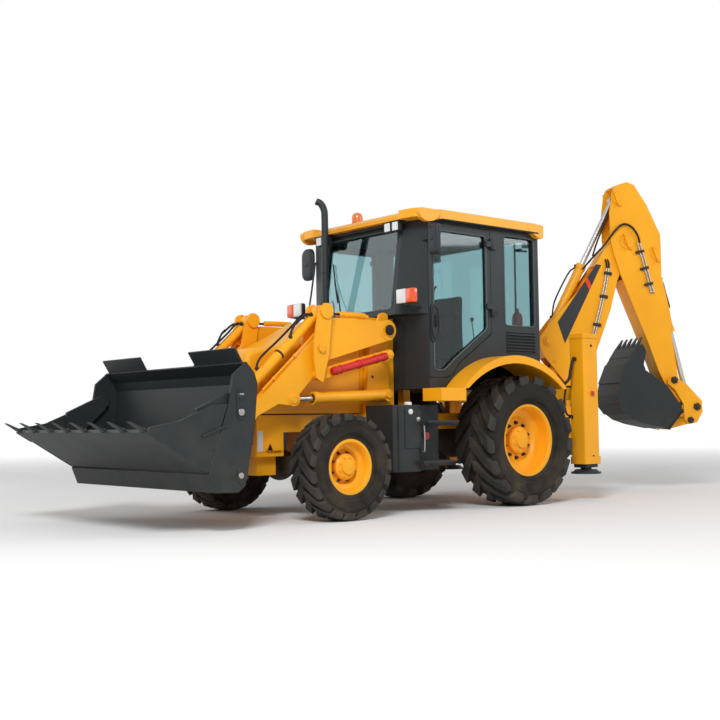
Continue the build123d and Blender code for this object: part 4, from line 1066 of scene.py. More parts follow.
@dataclass
class Lighting(Dresser):
    """Lamps of the roof and of the front brackets, in place of their plain blocks.

    Attributes:
        front_x: Front face of the roof lamps.
        rear_x: Rear face of the cab at roof height.
        high: Top of the lamps, just under the roof.
        lamp_ys: Places of the front work lamps.
        size: Width of a work lamp.
    """

    front_x: float = 0.772
    rear_x: float = -1.034
    high: float = 2.848
    lamp_ys: tuple[float, ...] = (-0.605, -0.49, 0.49, 0.605)
    size: float = 0.098

    def work_lamp(self, housing: Shape, lens: Shape, x: float, y: float, z: float, forward: int) -> None:
        """Square lamp: a rounded housing with a rim, and a lens set into it.

        Args:
            housing: Shape that gathers the housings.
            lens: Shape that gathers the lenses.
            x: Front of the lamp.
            y: Middle of the lamp.
            z: Middle of the lamp.
            forward: 1 when it faces forward, or -1.
        """
        half = self.size / 2
        housing.extend(soft_box((x - forward * 0.062, y - half, z - half), (x - forward * 0.006, y + half, z + half),
                                0.012))
        rim = panel(y - half, z - half, y + half, z + half, 0.014)
        housing.extend(front_plate(rim, x - forward * 0.008, x - forward * 0.002))
        inner = half * 0.84
        pane = panel(y - inner, z - inner, y + inner, z + inner, 0.012)
        lens.extend(front_plate(pane, x - forward * 0.01, x + forward * 0.001))
        for share in (-0.4, 0.0, 0.4):
            bar = y + share * half * 1.5
            lens.extend(soft_box((x, bar - 0.003, z - half * 0.7), (x + forward * 0.004, bar + 0.003, z + half * 0.7),
                                 0.002))

    def front_lamp(self, side: int) -> tuple[Shape, Shape, Shape]:
        """Double lamp on its bracket: a dark housing, a clear square and an amber end that wraps round.

        Args:
            side: LEFT or RIGHT.

        Returns:
            Housing, clear lens and amber lens.
        """
        x0, x1, z0, z1 = 0.836, 0.912, 1.998, 2.148
        inner, mid, outer = 0.752 * side, 0.888 * side, 0.992 * side
        housing = soft_box((x0, inner, z0), (x1 - 0.016, outer, z1), 0.02)
        housing.extend(soft_box((x0 - 0.03, 0.8 * side, z0 + 0.03), (x0 + 0.02, 0.93 * side, z1 - 0.03), 0.02))
        housing.extend(hose([(0.622, 0.812 * side, 1.985), (0.7, 0.815 * side, 1.992), (0.8, 0.845 * side, 1.995),
                             (0.862, 0.872 * side, 1.993)], 0.013))
        housing.extend(soft_box((0.842, 0.85 * side, 1.985), (0.895, 0.9 * side, 2.004), 0.006))
        clear = soft_box((x1 - 0.024, inner + 0.006 * side, z0 + 0.006), (x1, mid - 0.003 * side, z1 - 0.006), 0.01)
        amber = soft_box((x0 + 0.012, mid + 0.003 * side, z0 + 0.006), (x1 + 0.002, outer + 0.006 * side, z1 - 0.006),
                         0.014)
        return housing, clear, amber

    def beacon(self) -> tuple[Shape, Shape]:
        """Turned base and a ribbed dome of the warning beacon.

        Returns:
            Base and dome.
        """
        low = Vector((0.4865, -0.3, 2.945))
        base = lathe([(0, 0), (0.068, 0), (0.068, 0.012), (0.062, 0.018), (0.062, 0.034), (0, 0.034)], low,
                     UP)
        count = 36
        t = np.linspace(0, 1, 9)
        radius = 0.057 * np.sqrt(np.clip(1 - (np.clip(t - 0.45, 0, 1) / 0.55) ** 2.4, 0, 1))
        angle = np.linspace(0, 2 * math.pi, count, endpoint=False)
        rib = 1 + 0.025 * np.cos(12 * angle)
        rows = radius[:, None] * rib[None, :]
        points = np.stack([low.x + rows * np.cos(angle), low.y + rows * np.sin(angle),
                           np.broadcast_to((low.z + 0.034 + 0.118 * t)[:, None], rows.shape)], axis=-1)
        return base, Shape().add(points, barrel_faces(len(t), count))

    def build(self) -> None:
        """Make the lamps."""
        housing, lens = Shape(), Shape()
        middle = self.high - self.size / 2 - 0.003
        for y in self.lamp_ys:
            self.work_lamp(housing, lens, self.front_x, y, middle, 1)
        for y in (-0.7, 0.7):
            self.work_lamp(housing, lens, self.rear_x - 0.058, y, middle - 0.02, -1)
        housing.extend(soft_box((0.665, -0.66, 2.822), (0.712, 0.66, 2.852), 0.006))
        for y in (-0.548, 0.548):
            housing.extend(soft_box((0.69, y - 0.125, 2.838), (0.78, y + 0.125, 2.853), 0.005))
        amber = Shape()
        for side, _ in SIDES:
            for store, part in zip((housing, lens, amber), self.front_lamp(side)):
                store.extend(part)
        base, dome = self.beacon()
        self.shop.piece("lamp_housings", housing, "dark_paint", replaces=("lamps",))
        self.shop.piece("lamp_lenses", lens, "lamp_white")
        self.shop.piece("amber_lenses", amber, "lamp_amber")
        self.shop.piece("beacon_base", base, "cast_dark")
        self.shop.piece("beacon_dome", dome, "beacon_amber", smooth=50.0)


@dataclass
class Mirrors(Dresser):
    """Outside mirrors on bent tubes, in place of their plain plates.

    Attributes:
        x: Middle of the mirror bodies, front to back.
        low: Lower edge of the long right mirror.
        high: Upper edge of both.
    """

    x: float = 0.632
    low: float = 2.425
    high: float = 2.775

    def shell(self, y0: float, y1: float, z0: float, z1: float, radius: float) -> tuple[Shape, Shape]:
        """Bowl-backed mirror: rounded outline whose back shrinks in steps, and a glass on its rear face.

        Args:
            y0: One side.
            y1: The other side.
            z0: Lower edge.
            z1: Upper edge.
            radius: Corner radius.

        Returns:
            Shell and glass.
        """
        middle = np.array(((y0 + y1) / 2, (z0 + z1) / 2))
        outline = anticlockwise(panel(y0, z0, y1, z1, radius, 6))
        rows = [(-0.018, 0.97), (-0.014, 1.0), (0.004, 1.0), (0.016, 0.93), (0.024, 0.78), (0.028, 0.5)]
        points = np.array([[(self.x + dx, *(middle + (p - middle) * share)) for p in outline] for dx, share in rows])
        glass = front_plate(middle + (outline - middle) * 0.9, self.x - 0.02, self.x - 0.017)
        return Shape().add(points, barrel_faces(len(rows), len(outline))), glass

    def build(self) -> None:
        """Make both mirrors and their arms."""
        right, right_glass = self.shell(-1.072, -0.872, self.low, self.high, 0.085)
        left, left_glass = self.shell(0.945, 1.085, 2.48, self.high, 0.03)
        right.extend(left)
        right_glass.extend(left_glass)
        right.extend(hose([(0.6, -0.8, 2.6), (0.622, -0.86, 2.604), (0.634, -0.93, 2.606),
                           (0.652, -0.968, 2.6)], 0.011))
        right.extend(hose([(0.64, -0.838, 2.604), (0.646, -0.852, 2.5), (0.66, -0.88, 2.3), (0.7, -0.872, 2.12),
                           (0.745, -0.832, 2.012)], 0.01))
        right.extend(hose([(0.6, 0.8, 2.64), (0.622, 0.88, 2.644), (0.634, 0.95, 2.646), (0.652, 1.00, 2.64)],
                          0.011))
        for y, z in ((-0.968, 2.602), (1.0, 2.642)):
            right.extend(button((0.655, y, z), (1, 0, 0), 0.024, 0.012))
        self.shop.piece("mirror_shells", right, "dark_paint", smooth=40.0, replaces=("mirrors",))
        self.shop.piece("mirror_glasses", right_glass, "mirror_glass")


@dataclass
class Exhaust(Dresser):
    """Exhaust stack with a hooked tip, in place of its plain tube.

    Attributes:
        place: Where the stack stands on the cowl.
        radius: Radius of the tube.
    """

    place: Point = (0.9065, -0.33, 1.895)
    radius: float = 0.036

    def build(self) -> None:
        """Make the hollow tube and its clamp."""
        x, y, z = self.place
        controls = [(x, y, z), (x, y, z + 0.4), (x, y, z + 0.8), (x, y, z + 1.1), (x + 0.006, y - 0.005, z + 1.19),
                    (x + 0.03, y - 0.026, z + 1.252), (x + 0.066, y - 0.056, z + 1.278)]
        path = smooth_path(controls, 6)
        sides, depth = 24, 12
        shell = tube(path, self.radius, sides)
        shell.faces.pop()
        bore = tube(path[-depth:], self.radius * 0.88, sides)
        bore.faces = [face[::-1] for face in bore.faces[:-2]]
        start = shell.count
        shell.extend(bore)
        rim, lip = start - sides, start + (depth - 1) * sides
        shell.faces += [[rim + i, rim + (i + 1) % sides, lip + (i + 1) % sides, lip + i] for i in range(sides)]
        shell.faces.append([start + i for i in range(sides)])
        for low, radius, height in ((0.0, 0.056, 0.022), (0.16, 0.043, 0.03), (0.52, 0.041, 0.02)):
            profile = [(0, 0), (radius - 0.003, 0), (radius, 0.003), (radius, height - 0.003),
                       (radius - 0.003, height), (0, height)]
            shell.extend(lathe(profile, Vector((x, y, z + low)), UP, 32))
        self.shop.piece("exhaust_pipe", shell, "dark_paint", smooth=40.0, replaces=("exhaust_stack",))


# ---------------------------------------------------------------- cab


@dataclass
class CabTrim(Dresser):
    """Gaskets, handles, hinges, wiper, louvres and inside details of the cab.

    Attributes:
        face: Distance of the cab's side face from the middle plane.
        hinge_x: Line of the door hinges.
    """

    face: float = 0.88
    hinge_x: float = -0.3005

    @staticmethod
    def screen_x(z: float | np.ndarray) -> float | np.ndarray:
        """Front of the raked screen at this height."""
        return 0.7915 - (z - 1.92) * 0.1398

    def gasket(self, corners: list[Pair], side: int, radius: float = 0.007) -> Shape:
        """Closed bead round an opening of the side face or of the raked screen.

        Args:
            corners: Corners of the opening, as (x, z) on a side and (y, z) on the screen.
            side: LEFT or RIGHT, or 0 for the screen.
            radius: Radius of the bead.

        Returns:
            The bead.
        """
        across, up = rounded(corners, 0.045, 5).T
        level = np.full(len(up), side * self.face)
        path = np.column_stack([across, level, up] if side else [self.screen_x(up), across, up])
        normal = np.cross(path[1] - path[0], path[len(path) // 3] - path.mean(axis=0))
        return bead(path, normal / np.linalg.norm(normal), radius, 6)

    def door(self, side: int, name: str) -> None:
        """Dress one door: gasket, oval pull with a slot, hinge covers and inner bar.

        Args:
            side: LEFT or RIGHT.
            name: left or right.
        """
        y = side * self.face
        window = [(-0.2235, 2.75), (0.5265, 2.75), (0.5265, 1.37), (0.3965, 1.37), (0.2465, 1.49), (-0.2235, 1.8)]
        body = f"{name}_door"
        self.shop.piece(f"{name}_door_gasket", self.gasket(window, side, 0.008), "gasket", body, 60.0)
        pull = Shape()
        outline = [(0.572, 2.02), (0.47, 2.02), (0.455, 1.83), (0.47, 1.64), (0.572, 1.64)]
        pull.extend(side_plate(rounded(outline, 0.06, 6), y, y + side * 0.012))
        oval = circles(np.array((0.048, 0, 0)), np.array((0, 0, 0.165)), 32)[0] + (0.515, y + side * 0.014, 1.83)
        pull.extend(bead(oval, np.array((0.0, 1.0, 0.0)), 0.009, 8))
        for z in (1.984, 2.677):
            profile = [(0, -0.062), (0.014, -0.058), (0.022, -0.045), (0.022, 0.045), (0.014, 0.058), (0, 0.062)]
            pull.extend(lathe(profile, Vector((self.hinge_x, side * 0.898, z)), UP, 20))
        self.shop.piece(f"{name}_door_fittings", pull, "dark_paint", body, 40.0)
        # The slot is a near-black plate on the pull: painted shade of the opening, with the lever bent out over it.
        slot = side_plate(panel(0.5, 1.93, 0.53, 1.78, 0.014), y, y + side * 0.0135)
        slot.extend(hose([(0.515, y + side * 0.014, 1.9), (0.515, y + side * 0.03, 1.87),
                          (0.515, y + side * 0.03, 1.82), (0.515, y + side * 0.014, 1.79)], 0.007))
        self.shop.piece(f"{name}_door_latch", slot, "hose_rubber", body, 40.0)
        bar = hose([(0.42, y - side * 0.058, 1.46), (0.42, y - side * 0.1, 1.5), (0.43, y - side * 0.1, 1.9),
                    (0.43, y - side * 0.1, 2.14), (0.43, y - side * 0.062, 2.2)], 0.01)
        self.shop.piece(f"{name}_door_bar", bar, "hose_rubber", body, 60.0)

    def louvres(self, side: int) -> tuple[Shape, Shape]:
        """Air slots under the quarter window: a raised frame and six leaning slats over a near-black sheet, which is
        painted shade of the opening behind them.

        Args:
            side: LEFT or RIGHT.

        Returns:
            Frame with slats, and the sheet of painted shade.
        """
        y = side * self.face
        x0, x1, z0, z1 = -0.96, -0.52, 1.565, 1.79
        frame = Shape()
        for low, high in (((x0, z0), (x1, z0 + 0.012)), ((x0, z1 - 0.012), (x1, z1)), ((x0, z0), (x0 + 0.012, z1)),
                          ((x1 - 0.012, z0), (x1, z1))):
            frame.extend(soft_box((low[0], y, low[1]), (high[0], y + side * 0.01, high[1]), 0.003))
        for z in np.linspace(z0 + 0.026, z1 - 0.04, 6):
            rows = [(0.001, 0.018), (0.016, 0.0), (0.018, 0.002), (0.003, 0.021)]
            slat = np.array([[(x, y + side * out, z + up) for out, up in rows] for x in (x0 + 0.01, x1 - 0.01)])
            faces = grid_faces(2, 4, wrap_columns=True)
            frame.add(slat, faces if side < 0 else faces[:, ::-1])
        # Near-black sheet behind the slats: painted shade of the opening.
        back = soft_box((x0 + 0.006, y - side * 0.002, z0 + 0.006), (x1 - 0.006, y + side * 0.0015, z1 - 0.006), 0.001)
        return frame, back

    def wiper(self) -> Shape:
        """Motor box under the screen, an arm up the glass and its blade.

        Returns:
            All three.
        """
        def glass(z: float) -> float:
            """Outer face of the pane, which lies behind the front of the screen."""
            return self.screen_x(z) - 0.026

        shape = soft_box((0.775, -0.24, 1.925), (0.812, 0.06, 1.985), 0.012)
        shape.extend(button((0.8, -0.2, 1.955), (1, 0, 0), 0.02, 0.022))
        shape.extend(hose([(0.812, -0.2, 1.958), (0.806, -0.215, 2.01), (glass(2.15) + 0.024, -0.3, 2.15),
                           (glass(2.33) + 0.018, -0.4, 2.33)], 0.007))
        blade = [(glass(z) + 0.01, y, z) for y, z in ((-0.33, 2.12), (-0.4, 2.33), (-0.465, 2.54))]
        shape.extend(hose(blade, 0.008))
        return shape

    def inside(self) -> None:
        """Headliner, consoles, levers, extinguisher and grab bars that show through the glass."""
        liner = soft_box((-0.965, -0.8, 2.822), (0.6, 0.8, 2.846), 0.01)
        self.shop.piece("headliner", liner, "headliner", smooth=40.0)
        console = soft_box((-0.36, -0.49, 1.235), (0.18, -0.3, 1.7), 0.04)
        console.extend(soft_box((-0.86, -0.42, 1.235), (-0.7, 0.42, 1.66), 0.04))
        self.shop.piece("cab_consoles", console, "interior_plastic", smooth=40.0)
        levers = Shape()
        knobs = Shape()
        sticks = [(0.1, -0.37, 1.7, 0.06, -0.01, 0.22), (0.02, -0.37, 1.7, 0.05, 0.0, 0.2),
                  (-0.78, -0.16, 1.66, 0.05, -0.02, 0.3), (-0.78, 0.16, 1.66, 0.05, 0.02, 0.3),
                  (-0.74, 0.0, 1.66, 0.02, 0.0, 0.16)]
        for x, y, z, dx, dy, dz in sticks:
            levers.extend(hose([(x, y, z - 0.01), (x + dx * 0.2, y + dy * 0.2, z + dz * 0.4), (x + dx, y + dy, z + dz)],
                               0.007))
            knobs.extend(lathe([(0, 0), (0.012, 0.004), (0.02, 0.02), (0.02, 0.034), (0.012, 0.046), (0, 0.05)],
                               Vector((x + dx, y + dy, z + dz - 0.01)), UP, 16))
        self.shop.piece("cab_levers", levers, "bright_steel", smooth=50.0)
        self.shop.piece("cab_lever_knobs", knobs, "hose_rubber", smooth=50.0)
        bottle = [(0, 0), (0.05, 0), (0.056, 0.01), (0.056, 0.26), (0.045, 0.3), (0.018, 0.325), (0.018, 0.36),
                  (0, 0.36)]
        self.shop.piece("extinguisher", lathe(bottle, Vector((-0.885, 0.7, 1.7)), UP, 28), "red_paint", smooth=40.0)
        grab = Shape()
        for side, _ in SIDES:
            y = side * 0.8
            grab.extend(hose([(-0.74, y, 2.8), (-0.752, y, 2.7), (-0.752, y, 2.4), (-0.752, y, 2.12),
                              (-0.748, y, 1.9)], 0.011))
            grab.extend(soft_box((-0.9, side * 0.846, 2.645), (-0.7, side * 0.836, 2.667), 0.004))
            grab.extend(soft_box((-0.79, side * 0.882, 2.64), (-0.74, side * 0.836, 2.672), 0.006))
        self.shop.piece("quarter_window_fittings", grab, "hose_rubber", smooth=50.0)

    def roof(self) -> None:
        """Drip rail under the side of the roof and the drooping yellow corners at its ends."""
        rail, caps = Shape(), Shape()
        for side, _ in SIDES:
            rail.extend(soft_box((-0.98, side * 0.9, 2.838), (0.46, side * 0.946, 2.856), 0.005))
            rail.extend(soft_box((-1.066, side * 0.8, 2.838), (-1.034, side * -0.02, 2.856), 0.005))
            outline = [(-1.06, 2.94), (-0.8, 2.94), (-0.83, 2.862), (-0.9, 2.84), (-0.96, 2.8),
                       (-1.055, 2.792)]
            caps.extend(side_plate(rounded(outline, 0.03, 6), side * 0.87, side * 0.9435))
            caps.extend(front_plate(rounded([(side * 0.66, 2.93), (side * 0.9, 2.93), (side * 0.9, 2.8),
                                             (side * 0.8, 2.835)][::side], 0.02, 4), -1.062, -1.02))
            front = [(0.46, 2.936), (0.5, 2.856), (0.575, 2.818), (0.665, 2.808), (0.735, 2.835), (0.765, 2.9),
                     (0.75, 2.936)]
            caps.extend(side_plate(rounded(front, 0.03, 6), side * 0.895, side * 0.9435))
            wedge = [(0.48, side * 0.9), (0.48, side * 0.9385), (0.7, side * 0.9385), (0.765, side * 0.88),
                     (0.79, side * 0.67), (0.7, side * 0.67)]
            caps.extend(plate(rounded(wedge[::side], 0.02, 4), (0, 0, 0), (1, 0, 0), (0, 1, 0), 2.852, 2.937))
        self.shop.piece("drip_rails", rail, "hose_rubber")
        self.shop.piece("roof_corner_caps", caps, "yellow_paint", smooth=40.0)

    def build(self) -> None:
        """Dress the cab."""
        for side, name in SIDES:
            self.door(side, name)
            frame, back = self.louvres(side)
            self.shop.piece(f"{name}_louvres", frame, "dark_paint")
            self.shop.piece(f"{name}_louvre_shade_sheet", back, "hose_rubber")
            quarter = [(-0.9635, 2.785), (-0.4985, 2.785), (-0.4985, 1.85), (-0.9635, 1.85)]
            self.shop.piece(f"{name}_quarter_gasket", self.gasket(quarter, side), "gasket", smooth=60.0)
        screen = [(-0.545, 1.975), (0.545, 1.975), (0.545, 2.785), (-0.545, 2.785)]
        self.shop.piece("screen_gasket", self.gasket(screen, 0), "gasket", smooth=60.0)
        self.shop.piece("wiper", self.wiper(), "hose_rubber", smooth=40.0)
        self.inside()
        self.roof()


@dataclass
class Pad(Dresser):
    """Seat pad that is puffed by a cloth simulation.

    Attributes:
        node: CAD node that it replaces.
        low: Lowest corner.
        high: Highest corner.
        limit: Furthest that a point may move.
        upright: Whether it is the back rest.
        voxel: Size of the cells that it is remeshed with.
        pressure: Pressure of the filling in the simulation.
        frames: How long the simulation runs.
        rounds: Rounds of smoothing afterwards.
    """

    node: str
    low: Point
    high: Point
    limit: float = 0.022
    upright: bool = False
    voxel: ClassVar[float] = 0.008
    pressure: ClassVar[float] = 4.0
    frames: ClassVar[int] = 20
    rounds: ClassVar[int] = 16

    def puff(self, made: bpy.types.Object) -> None:
        """Remesh the pad, press it outwards as cloth and keep the result, capped and smoothed.

        Args:
            made: The pad.
        """
        remesh = made.modifiers.new("remesh", "REMESH")
        remesh.mode = "VOXEL"
        remesh.voxel_size = self.voxel
        remesh.use_smooth_shade = True
        self.apply(made)
        start = self.coordinates(made.data)
        cloth = made.modifiers.new("cloth", "CLOTH")
        cloth.settings.use_pressure = True
        cloth.settings.uniform_pressure_force = self.pressure
        cloth.settings.effector_weights.gravity = 0.0
        for frame in range(1, self.frames + 1):
            bpy.context.scene.frame_set(frame)
        evaluated = made.evaluated_get(bpy.context.evaluated_depsgraph_get())
        moved = self.coordinates(evaluated.data) - start
        made.modifiers.remove(cloth)
        bpy.context.scene.frame_set(1)
        length = np.linalg.norm(moved, axis=1)[:, None]
        moved *= np.minimum(1.0, self.limit / np.maximum(length, 1e-9))
        self.write(made.data, start + moved)
        relax = made.modifiers.new("relax", "SMOOTH")
        relax.factor = 0.5
        relax.iterations = self.rounds
        self.apply(made)

    @staticmethod
    def coordinates(mesh: bpy.types.Mesh) -> np.ndarray:
        """Read a mesh's points as an array."""
        flat = np.empty(len(mesh.vertices) * 3)
        mesh.vertices.foreach_get("co", flat)
        return flat.reshape(-1, 3)

    @staticmethod
    def write(mesh: bpy.types.Mesh, points: np.ndarray) -> None:
        """Put an array back as a mesh's points."""
        mesh.vertices.foreach_set("co", points.ravel())
        mesh.update()

    @staticmethod
    def apply(made: bpy.types.Object) -> None:
        """Replace the mesh by what its modifiers make of it."""
        evaluated = made.evaluated_get(bpy.context.evaluated_depsgraph_get())
        mesh = bpy.data.meshes.new_from_object(evaluated)
        made.modifiers.clear()
        made.data = mesh

    def channels(self, made: bpy.types.Object) -> None:
        """Sink two sewn channels: a narrow bell-shaped dip of the face along each seam.

        Args:
            made: The pad.
        """
        p = self.coordinates(made.data)
        face, along = (0, 2) if self.upright else (2, 0)
        middle = (self.low[face] + self.high[face]) / 2
        span = self.high[along] - self.low[along]
        front = p[:, face] > middle
        for share in (0.34, 0.66):
            seam = self.low[along] + share * span
            p[:, face] -= front * 0.01 * np.exp(-(((p[:, along] - seam) / 0.008) ** 2))
        for seam in (self.low[1] + 0.085, self.high[1] - 0.085):
            p[:, face] -= front * 0.008 * np.exp(-(((p[:, 1] - seam) / 0.008) ** 2))
        self.write(made.data, p)

    def build(self, fill: float) -> None:
        """Args:
            fill: How tight it is stuffed; not used.
        """
        shape = soft_box(tuple(v + 0.012 for v in self.low), tuple(v - 0.012 for v in self.high), 0.034)
        made = self.shop.piece(f"{self.node}_pad", shape, "seat_fabric", smooth=0.0, replaces=(self.node,))
        material = made.data.materials[0]
        weld = made.modifiers.new("weld", "WELD")
        weld.merge_threshold = 0.0002
        self.apply(made)
        self.puff(made)
        self.channels(made)
        made.data.materials.clear()
        made.data.materials.append(material)
        made.data.shade_smooth()
        finer = made.modifiers.new("subdivision", "SUBSURF")
        finer.levels = finer.render_levels = 1


# ---------------------------------------------------------------- loader


@dataclass
class LoaderDress(Dresser):
    """Pins, hoses, tubes and strut rings of the loader arms.

    Attributes:
        arm_y: Middle of an arm.
        outer: Outer face of an arm's boss.
    """

    arm_y: float = 0.57
    outer: float = 0.626

    def pins(self) -> None:
        """Pin heads: a black cap at the arm pivot, yellow washers and bolt rings elsewhere."""
        caps, link_ends, rings = Shape(), Shape(), Shape()
        for side, _ in SIDES:
            out = (0, side, 0)
            caps.extend(button((0.8965, side * 0.64, 1.76), out, 0.05, 0.02, 32))
            link_ends.extend(button((0.9115, side * 0.658, 1.52), out, 0.042, 0.018, 32))
            link_ends.extend(button((0.9115, side * 0.674, 1.52), out, 0.02, 0.014, 6))
            for x, z, face, radius in ((1.7765, 1.55, 0.701, 0.04), (2.0465, 1.09, self.outer, 0.046)):
                rings.extend(button((x, side * face, z), out, radius, 0.01, 32))
                for index in range(4):
                    angle = math.pi * (0.25 + index * 0.5)
                    rings.extend(button((x + 0.026 * math.cos(angle), side * (face + 0.009),
                                         z + 0.026 * math.sin(angle)), out, 0.006, 0.006, 6))
        self.shop.piece("arm_pivot_caps", caps, "hose_rubber")
        self.shop.piece("link_pin_heads", link_ends, "yellow_paint")
        self.shop.piece("arm_pin_heads", rings, "yellow_paint", "loader_arms")

    def tubes(self) -> None:
        """Pipe and a thinner line along the top of each arm, the hose between them, and clamps."""
        lines, clamps, hoses = Shape(), Shape(), Shape()
        for side, _ in SIDES:
            y = side * (self.arm_y + 0.02)
            lines.extend(hose([(1.17, y, 1.884), (1.2, y, 1.888), (1.32, y, 1.89), (1.5, y, 1.886)], 0.027, 18))
            top = [(1.56, 1.872), (1.64, 1.812), (1.76, 1.704), (2.1, 1.404), (2.38, 1.157)]
            y = side * (self.arm_y + 0.043)
            lines.extend(hose([(x + 0.012, y, z + 0.012) for x, z in top], 0.008))
            hoses.extend(hose([(1.5, y, 1.884), (1.545, y, 1.884), (1.572, y, 1.884)], 0.012))
            for x, z, lean in ((1.15, 1.87, 0.0), (1.4, 1.872, 0.0), (1.8, 1.668, -0.723), (2.02, 1.475, -0.723),
                               (2.26, 1.263, -0.723)):
                band = soft_box((-0.012, -0.011, -0.016), (0.012, 0.011, 0.014), 0.004)
                turn = Matrix.Translation((x + 0.008, y, z + 0.01)) @ Matrix.Rotation(-lean, 4, "Y")
                clamps.extend(band, turn)
        self.shop.piece("arm_lines", lines, "yellow_paint", "loader_arms", 50.0)
        self.shop.piece("arm_line_clamps", clamps, "yellow_paint", "loader_arms")
        self.shop.piece("arm_hoses", hoses, "hose_rubber", "loader_arms", 50.0)

    def tilt_hoses(self) -> None:
        """Two bowed hoses on each tilt ram, from its foot to the gland, and the gland's hex.

        A point is given by its distance along the ram and above it; the hose bows away in the middle.
        """
        start, end = Vector((1.7165, 0, 1.9)), Vector((2.6465, 0, 1.07))
        along = (end - start).normalized()
        above = Vector((-along.z, 0, along.x))
        hoses, fittings = Shape(), Shape()

        def at(distance: float, height: float, y: float) -> tuple:
            """Point beside the ram."""
            p = start + along * distance + above * height
            return (p.x, y, p.z)

        for side, _ in SIDES:
            for reach, y, bow in ((0.86, 0.532, 0.085), (0.42, 0.596, 0.1)):
                y *= side
                hoses.extend(hose([at(0.1, 0.045, y), at(0.16, 0.085, y), at(0.3, bow * 0.95, y),
                                   at(reach * 0.62, bow, y), at(reach - 0.1, 0.095, y), at(reach - 0.01, 0.062, y),
                                   at(reach, 0.045, y)], 0.0105))
                for distance in (0.1, reach):
                    fittings.extend(hose_nut(Vector(at(distance, 0.034, y)), above, 0.018, 0.026, 0.013))
            band = lathe([(0.044, 0), (0.05, 0.002), (0.05, 0.02), (0.044, 0.022)],
                         start + along * 0.6 + Vector((0, side * self.arm_y, 0)), along, 28)
            fittings.extend(band)
        self.shop.piece("tilt_ram_hoses", hoses, "hose_rubber", "tilt_ram_barrels", 50.0)
        self.shop.piece("tilt_ram_fittings", fittings, "cast_dark", "tilt_ram_barrels")

    def strut(self, body: str) -> None:
        """Rings round the red safety strut, closer at its ends, and its end plugs.

        Args:
            body: Body that carries the strut.
        """
        foot, tip = Vector((0.9115, 0.698, 1.52)), Vector((1.7915, 0.698, 1.31))
        along = (tip - foot).normalized()
        rings = Shape()
        ring = [(0.034, 0), (0.041, 0.003), (0.042, 0.008), (0.041, 0.013), (0.034, 0.016)]
        for distance in (0.22, 0.42, 0.45, 0.66):
            rings.extend(lathe(ring, foot + along * distance, along, 28))
        for distance, way in ((0.762, 1), (0.094, -1)):
            rings.extend(lathe([(0, 0), (0.037, 0), (0.037, 0.006), (0.03, 0.012), (0, 0.012)],
                               foot + along * distance, along * way, 28))
        self.shop.piece("strut_rings", rings, "red_paint", body, 40.0)

    def towers(self) -> None:
        """Upright plate behind each arm pivot."""
        plates = Shape()
        for side, _ in SIDES:
            ear = [(0.8, 1.64), (0.8, 1.925), (0.85, 1.945), (0.905, 1.93), (0.945, 1.82), (0.945, 1.64)]
            plates.extend(side_plate(rounded(ear, 0.018, 4), side * 0.488, side * 0.512))
        self.shop.piece("tower_plates", plates, "yellow_paint")

    def valve(self) -> None:
        """Valve block inside each lift ram's foot with its hoses down to the rail and up to the tower."""
        block, hoses = Shape(), Shape()
        for side, _ in SIDES:
            y = side * 0.452
            block.extend(soft_box((0.965, y - 0.02, 1.275), (1.035, y + 0.02, 1.345), 0.008))
            block.extend(button((1.0, y + side * 0.02, 1.31), (0, side, 0), 0.018, 0.03, 6))
            for x, reach in ((0.985, 0.87), (1.015, 0.94)):
                hoses.extend(hose([(x, y, 1.28), (x - 0.01, y, 1.2), (x + 0.02, y + side * 0.01, 1.05),
                                   (reach, y - side * 0.01, 0.97), (reach - 0.06, y - side * 0.05, 0.93)], 0.01))
            hoses.extend(hose([(1.0, y, 1.34), (0.99, y, 1.44), (0.93, y - side * 0.015, 1.6),
                               (0.88, side * 0.45, 1.76)], 0.01))
        self.shop.piece("loader_valves", block, "cast_dark")
        self.shop.piece("loader_valve_hoses", hoses, "hose_rubber", smooth=50.0)

    def build(self) -> None:
        """Dress the loader."""
        self.pins()
        self.tubes()
        self.tilt_hoses()
        self.strut(self.shop.body_of["safety_strut"])
        self.valve()
        self.towers()


